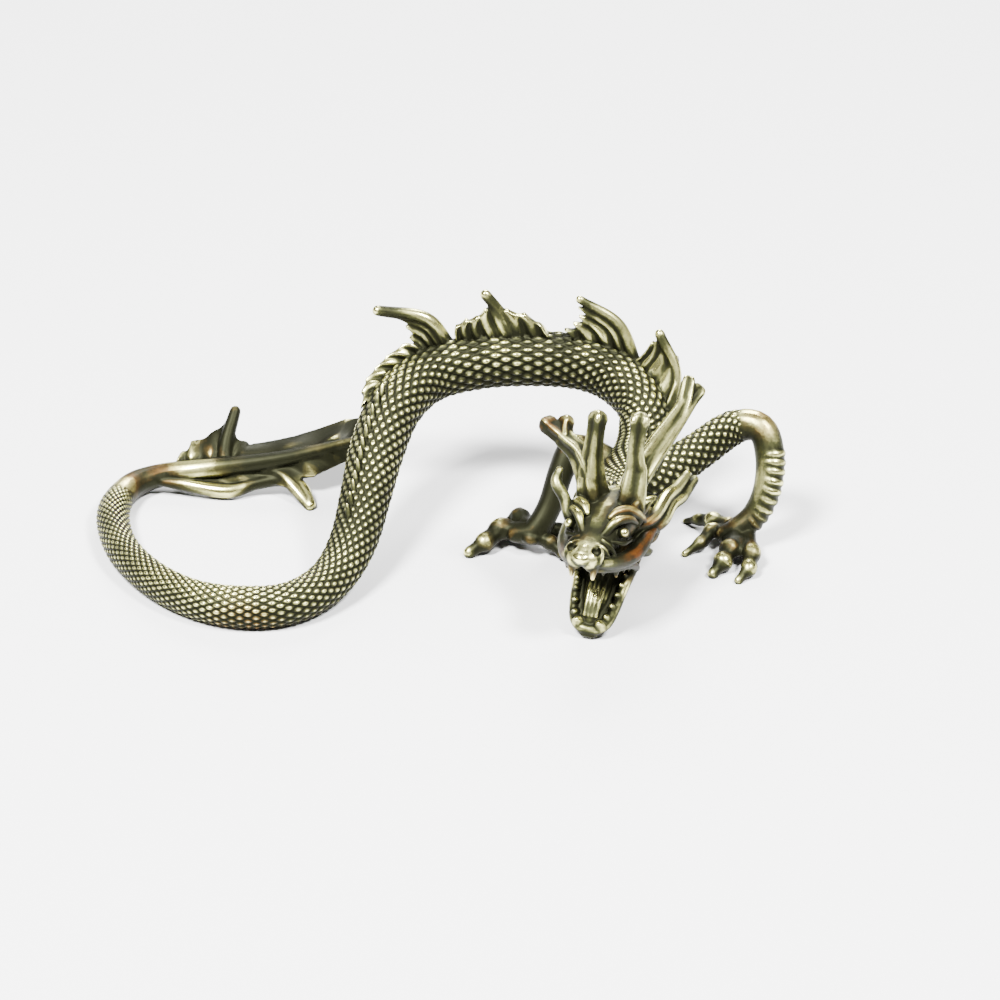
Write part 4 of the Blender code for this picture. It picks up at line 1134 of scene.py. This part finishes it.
def openness_and_underside_shade(mesh, points, normals):
    """The share of rays from each point that meet nothing near, from 0 to 1. Rays that go down
    count as partly shut, which paints shade on undersides.
    """
    bm = bmesh.new()
    bm.from_mesh(mesh)
    tree = BVHTree.FromBMesh(bm)
    bm.free()
    golden = math.pi * (3 - math.sqrt(5))
    rays = []
    for k in range(OPEN_RAYS):
        up = math.sqrt(1 - (k + 0.5) / OPEN_RAYS * OPEN_SPREAD)
        flat = math.sqrt(1 - up * up)
        rays.append((flat * math.cos(k * golden), flat * math.sin(k * golden), up))
    result = np.ones(len(points))
    for i, (point, normal) in enumerate(zip(points, normals)):
        normal = Vector(normal)
        side = normal.orthogonal().normalized()
        other = normal.cross(side)
        start = Vector(point) + normal * OPEN_START
        shut = 0
        for x, y, z in rays:
            ray = side * x + other * y + normal * z
            distance = tree.ray_cast(start, ray, OPEN_REACH)[3]
            met = 0 if distance is None else 1 - distance / OPEN_REACH
            # A downward ray adds painted shade even when it meets nothing.
            shut += max(met, UNDERSIDE_SHADE * min(1, max(0, -STEEP * ray.z)))
        result[i] = 1 - shut / OPEN_RAYS
    return result


points, normals, edges = point_data(mesh)
smoothed = spread(points, edges, 3, RELIEF_STEPS)
relief = ((points - smoothed) * normals).sum(axis=1)[:, None] / UNIT
relief -= spread(relief, edges, 1, DRIFT_STEPS)
rise = np.empty(len(points), np.float32)
mesh.attributes["rise"].data.foreach_get("value", rise)
relief[rise != 0] = 0
keep_measure(mesh, "relief", spread(relief, edges, 1, 1)[:, 0])
open_share_and_underside_shade = openness_and_underside_shade(mesh, points, normals)
open_share_and_underside_shade = spread(open_share_and_underside_shade[:, None], edges, 1, OPEN_BLUR)[:, 0]
keep_measure(mesh, "open", open_share_and_underside_shade)
print("relief:", np.percentile(relief, (1, 10, 50, 90, 99)).round(3), "mm")
print("openness:", np.percentile(open_share_and_underside_shade, (1, 10, 50, 90, 99)).round(3))

# %% [markdown]
# A hand-worn casting isn't the same all over, and some light and shade is painted on as well. The
# lobes and horns are brighter, the left arm is darker, and cheeks, hands and tips are warmer,
# partly from the copper of the casting and partly as a painted reflection of a wooden table. The
# back under the fins, the low side of the arch, the right palm and the hollows of the face are
# darkened with painted shade, and the eyes and the ribs of the tongue get painted highlights. Each
# such place is a ball of influence that fades out. A painted picture would do this too, but it
# would have to be kept beside the model.

# %% Tones
# Places of the drawing, each with a reach, a warmth and how much darker it is than the rest.
TONES = {
    # Warmth here is partly the copper of the casting and partly a painted reflection of a wooden
    # table.
    "left cheek": (28.6, -20.6, 12.4, 4.2, 1.0, 0.35),
    "left cheek's back": (30.4, -16.6, 13.8, 3.4, 0.9, 0.35),
    "right cheek": (20.8, -21.5, 13.6, 3.2, 0.9, 0.35),
    "upper brow": (27.0, -19.0, 19.0, 2.6, 0.5, 0.35),
    # Painted shade under the fins and on the low side of the arch.
    "back under the first fin": (-2.0, 20.5, 24.6, 2.4, 0.0, 0.7),
    "back under the second fin": (5.0, 21.4, 25.8, 2.4, 0.0, 0.7),
    "back between the fins": (12.0, 21.8, 26.2, 2.4, 0.0, 0.6),
    "back under the third fin": (19.0, 21.8, 25.9, 2.4, 0.0, 0.7),
    "back behind the third fin": (25.5, 20.8, 24.0, 2.4, 0.0, 0.7),
    "low side of the arch": (8.0, 20.6, 17.0, 3.4, 0.3, 0.5),
    "low side of the arch's end": (17.0, 20.8, 17.2, 3.4, 0.3, 0.5),
    "low side of the loop": (-33.0, -18.5, 3.0, 9.0, 0.0, -0.25),
    "leg": (-13.5, -3.0, 9.0, 6.0, 0.0, 0.25),
    "forearm": (49.5, 6.0, 11.0, 5.0, 0.0, -0.35),
    "smooth tail": (-46.5, 18.5, 3.2, 5.0, 0.5, 0.4),
    "stem of the tail fin": (-31.0, 20.5, 5.6, 8.0, 0.1, 0.6),
    "edge of the small lobe": (-35.0, 16.8, 1.4, 5.0, 0.0, -1.0),
    "edge of the large lobe": (-22.5, 16.4, 2.0, 4.0, 0.0, -0.9),
    "right antler's tip": (16.4, -5.2, 25.8, 3.0, 0.9, 0.2),
    "elbow": (48.6, 9.0, 18.4, 2.6, 0.6, 0.0),
    # Painted shade in the palm, which faces the table.
    "right palm": (44.4, 0.0, 2.6, 4.2, 0.5, 0.9),
    "left arm": (18.0, 5.6, 9.0, 7.5, 0.8, 1.4),
    "left hand": (12.6, 2.0, 2.6, 6.0, 0.3, 0.6),
    # Painted shade under the loop, with warmth that is a painted reflection of the table.
    "under the loop": (-28.0, -21.0, -0.5, 5.0, 0.6, 0.1),
    "right lobe": (-34.0, 23.5, 8.0, 4.0, 0.5, 0.5),
    "tail fin": (-22.0, 23.5, 7.5, 12.0, 0.1, 0.7),
    "antlers": (25.5, -12.5, 23.0, 8.0, 0.0, -0.35),
    "long tine": (34.0, -5.0, 24.5, 5.0, 0.0, -0.3),
    "fringe": (-9.0, 18.0, 22.0, 4.0, 0.0, -0.3),
    "first fin": (-4.0, 22.7, 27.0, 5.0, 0.0, -0.3),
    "second fin": (8.0, 23.0, 28.5, 6.0, 0.0, -0.3),
    "third fin": (25.0, 23.0, 28.0, 5.0, 0.0, -0.35),
    "fourth fin": (34.5, 18.0, 22.5, 5.0, 0.0, -0.25),
    "left whiskers": (34.5, -9.0, 14.8, 6.0, 0.0, -0.35),
}
# The same, as places on the left side of the head. They count for its right side too. The
# socket, under the eye, the temple, the nostril, the throat, the mouth and between the brows are
# hollows darkened with painted shade. The eye gets a painted glint, and the tongue a painted
# highlight.
HEAD_TONES = {
    "socket": (7.6, 3.9, 4.2, 1.9, 0.0, 0.8),
    # A painted glint on the eye.
    "eye": (8.4, 4.4, 4.5, 0.7, 0.0, -1.6),
    "under the eye": (9.6, 3.0, 2.6, 2.0, 0.0, 0.9),
    "temple": (6.0, 4.7, 4.3, 1.0, 0.0, 0.8),
    "nostril": (13.3, 1.85, 2.6, 0.62, 0.3, 2.2),
    "throat": (2.5, 1.2, -3.0, 3.2, 0.0, 0.9),
    "mouth": (4.6, 1.6, -7.2, 2.4, 0.0, 0.8),
    # A painted highlight on the ribs of the tongue.
    "tongue": (5.2, 0.7, -6.4, 1.9, 0.0, -0.95),
    "nose": (14.2, 0.8, 1.0, 1.5, 0.0, -0.7),
    "rim of the jaw": (3.4, 4.4, -5.4, 2.2, 0.0, -0.5),
    "forehead": (4.6, 0.4, 7.6, 3.0, 0.1, 0.5),
    "between the brows": (8.6, 0.2, 5.0, 1.9, 0.0, 0.45),
    "fang": (13.2, 1.6, -1.2, 1.4, 0.3, -0.5),
    "lower front teeth": (7.6, 2.2, -10.2, 1.4, 0.0, -0.7),
    "lower side teeth": (6.0, 3.3, -7.6, 1.4, 0.0, -0.6),
    "lower back teeth": (4.0, 3.8, -5.0, 1.4, 0.0, -0.6),
}
TONE_EDGE = 1.4  # shares of the reach, at which a tone has faded out

for name, (ahead, left, up, *rest) in HEAD_TONES.items():
    for side in (-1, 1):
        TONES[f"{name} {side}"] = (*on_head(ahead, side * left, up), *rest)
# Summed, these give painted shade and highlights as well as the casting's own darker and brighter
# places.
warmth, shade = np.zeros(len(points)), np.zeros(len(points))
for x, y, z, reach, warm, dark in TONES.values():
    away = np.linalg.norm(points - np.array(metres((x, y, z))), axis=1) / (reach * UNIT)
    near = np.clip(TONE_EDGE - away, 0, 1)
    warmth = np.maximum(warmth, warm * near)
    shade += dark * near
keep_measure(mesh, "warmth", warmth)
keep_measure(mesh, "shade", shade)
print(len(TONES), "places with a tone of their own")

# %% [markdown]
# A material is a chain of small sums. Written as nodes they are hard to read, so a small class
# wraps a socket, and Python's own signs add the Math nodes.

# %% Arithmetic on sockets
class Socket:
    """An output of a material's node, or a plain number, that can be added and multiplied."""

    def __init__(self, tree, output):
        self.tree = tree
        self.output = output

    def node(self, kind, settings=None, **inputs):
        """A new node: its settings first, then the values or links of its sockets."""
        node = self.tree.nodes.new(kind)
        for name, value in (settings or {}).items():
            setattr(node, name, value)
        for name, value in inputs.items():
            key = int(name[1:]) if name[1:].isdigit() else name.replace("_", " ")
            if isinstance(value, Socket):
                self.tree.links.new(value.output, node.inputs[key])
            else:
                node.inputs[key].default_value = value
        return node

    def take(self, node, output=0):
        return Socket(self.tree, node.outputs[output])

    def sum(self, operation, one, other):
        return self.take(self.node("ShaderNodeMath", {"operation": operation}, _0=one, _1=other))

    def __add__(self, other):
        return self.sum("ADD", self, other)

    def __sub__(self, other):
        return self.sum("SUBTRACT", self, other)

    def __rsub__(self, other):
        return self.sum("SUBTRACT", other, self)

    def __mul__(self, other):
        return self.sum("MULTIPLY", self, other)

    __radd__, __rmul__ = __add__, __mul__

    def rising(self, low, high):
        """0 below low, 1 above high, and a smooth rise between."""
        ranged = self.node(
            "ShaderNodeMapRange", {"interpolation_type": "SMOOTHSTEP"},
            Value=self, From_Min=low, From_Max=high,
        )
        return self.take(ranged)

    def mixed(self, one, other):
        """A colour between the two, by this socket's value."""
        mix = self.node("ShaderNodeMix", {"data_type": "RGBA"}, _0=self, _6=one, _7=other)
        return self.take(mix, 2)


# %% [markdown]
# Brass that is handled keeps its patina only where fingers don't reach. The measured relief and
# open space decide how bright a place is, and noise breaks their edges up. The open space also
# paints shade on undersides, and the tones add painted shade and highlights. The bright metal is
# a pale yellow mirror, the patina a nearly black, dull skin with some green in it, and between
# them is olive brown. Parts of the head, the arms and the antlers are warmer: partly the copper
# of the casting, partly a painted reflection of a wooden table.

# %% Brass with patina
BRIGHT = (0.91, 0.88, 0.35, 1)
OLIVE = (0.043, 0.045, 0.018, 1)
PATINA = (0.012, 0.0125, 0.006, 1)
# Warm copper: partly the casting's own, partly a painted reflection of a wooden table.
WARM_BRIGHT = (0.62, 0.31, 0.045, 1)
WARM_BROWN = (0.12, 0.04, 0.008, 1)
BLOTCH_SCALE, BLOTCH_DETAIL = 350.0, 3.0
GRAIN_SCALE, GRAIN_DETAIL = 2600.0, 2.0
NOISE_MEAN = 0.5
RELIEF_WEIGHT, SCALE_WEIGHT = 6.5, 0.9
# Less open places are darker: patina in the hollows, and painted shade on undersides.
OPEN_WEIGHT, HALF_OPEN = 2.0, 0.75  # a place less open than this is darker
BLOTCH_WEIGHT, GRAIN_WEIGHT = 0.8, 0.3
OLIVE_FROM, OLIVE_TO = -0.35, 0.45  # levels between which patina turns to olive
POLISH_FROM, POLISH_TO = 0.25, 1.2  # and olive to bright brass
WARM_CONTRAST, WARM_FROM, WARM_TO = 1.4, 0.3, 0.8
DULL, GLOSS, ROUGH_GRAIN = 0.5, 0.28, 0.08  # roughness of patina, what polish takes off it
METAL, OLIVE_METAL, POLISH_METAL = 0.75, 0.15, 0.1
GRAIN_BUMP, GRAIN_DEPTH = 0.25, 0.00004
SPECULAR = 0.1

brass = bpy.data.materials.new("brass")
brass.use_nodes = True
shader = brass.node_tree.nodes["Principled BSDF"]
base = Socket(brass.node_tree, None)
place = base.take(base.node("ShaderNodeTexCoord"), "Object")


def measure(name):
    """One of the numbers that were kept at the mesh's points."""
    return base.take(base.node("ShaderNodeAttribute", {"attribute_name": name}), "Fac")


height, space_and_underside_shade = measure("relief"), measure("open")
noise = "ShaderNodeTexNoise"
blotches = base.take(base.node(noise, Vector=place, Scale=BLOTCH_SCALE, Detail=BLOTCH_DETAIL))
grain = base.take(base.node(noise, Vector=place, Scale=GRAIN_SCALE, Detail=GRAIN_DETAIL))
scale, warmth, shade = measure("rise"), measure("warmth"), measure("shade")

level = height * RELIEF_WEIGHT + scale * SCALE_WEIGHT + (space_and_underside_shade - HALF_OPEN) * OPEN_WEIGHT
# Here the tones darken the painted shade and lighten the painted highlights.
level = level + (blotches - NOISE_MEAN) * BLOTCH_WEIGHT - shade
level = level + (grain - NOISE_MEAN) * GRAIN_WEIGHT
olive = level.rising(OLIVE_FROM, OLIVE_TO)
polish = level.rising(POLISH_FROM, POLISH_TO)
warm = warmth * (blotches * WARM_CONTRAST).rising(WARM_FROM, WARM_TO)
bright = warm.mixed(BRIGHT, WARM_BRIGHT)
colour = polish.mixed(olive.mixed(PATINA, warm.mixed(OLIVE, WARM_BROWN)), bright)
rough = DULL - polish * GLOSS + (grain - NOISE_MEAN) * ROUGH_GRAIN
metal = METAL + olive * OLIVE_METAL + polish * POLISH_METAL
bump = base.take(
    base.node("ShaderNodeBump", Height=grain, Strength=GRAIN_BUMP, Distance=GRAIN_DEPTH)
)
for name, socket in (
    ("Base Color", colour), ("Roughness", rough), ("Metallic", metal), ("Normal", bump),
):
    brass.node_tree.links.new(socket.output, shader.inputs[name])
shader.inputs["Specular IOR Level"].default_value = SPECULAR
mesh.materials.clear()
mesh.materials.append(brass)
print(len(brass.node_tree.nodes), "nodes in the brass")

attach(look, "root")
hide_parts("dragon")

# %% [markdown]
# Polished metal shows what is around it, so the light matters as much as the material. Large soft
# lamps from both sides and from behind draw broad highlights on the scales, as a photographer's
# soft boxes do. The floor is plain pale paper, and the room around is nearly dark.

# %% Floor and lights
FLOOR_HALF = 3
PAPER_COLOUR, PAPER_ROUGHNESS = (0.8, 0.8, 0.8, 1), 0.8
ROOM_LIGHT = 0.1
# Lights: place in metres, width in metres and power in watts.
LIGHTS = {
    "key": ((-0.25, -0.25, 0.6), 0.18, 24),
    "second": ((0.3, -0.2, 0.55), 0.14, 13),
    "back": ((0.05, 0.55, 0.45), 0.3, 9),
}

floor = bmesh.new()
bmesh.ops.create_grid(floor, x_segments=1, y_segments=1, size=FLOOR_HALF)
floor = new_object(floor, "floor")
paper = bpy.data.materials.new("paper")
paper.use_nodes = True
paper_shader = paper.node_tree.nodes["Principled BSDF"]
paper_shader.inputs["Base Color"].default_value = PAPER_COLOUR
paper_shader.inputs["Roughness"].default_value = PAPER_ROUGHNESS
floor.data.materials.append(paper)

world = bpy.data.worlds.new("studio")
world.use_nodes = True
world.node_tree.nodes["Background"].inputs["Color"].default_value = (1, 1, 1, 1)
world.node_tree.nodes["Background"].inputs["Strength"].default_value = ROOM_LIGHT
bpy.context.scene.world = world


def soft_light(name, place, size, power):
    """A square soft light that faces the middle of the figure."""
    data = bpy.data.lights.new(name, "AREA")
    data.size = size
    data.energy = power
    obj = bpy.data.objects.new(name, data)
    obj.location = place
    obj.rotation_euler = Vector(place).to_track_quat("Z", "Y").to_euler()
    bpy.context.scene.collection.objects.link(obj)


for name, light in LIGHTS.items():
    soft_light(name, *light)
print("lights:", ", ".join(LIGHTS))
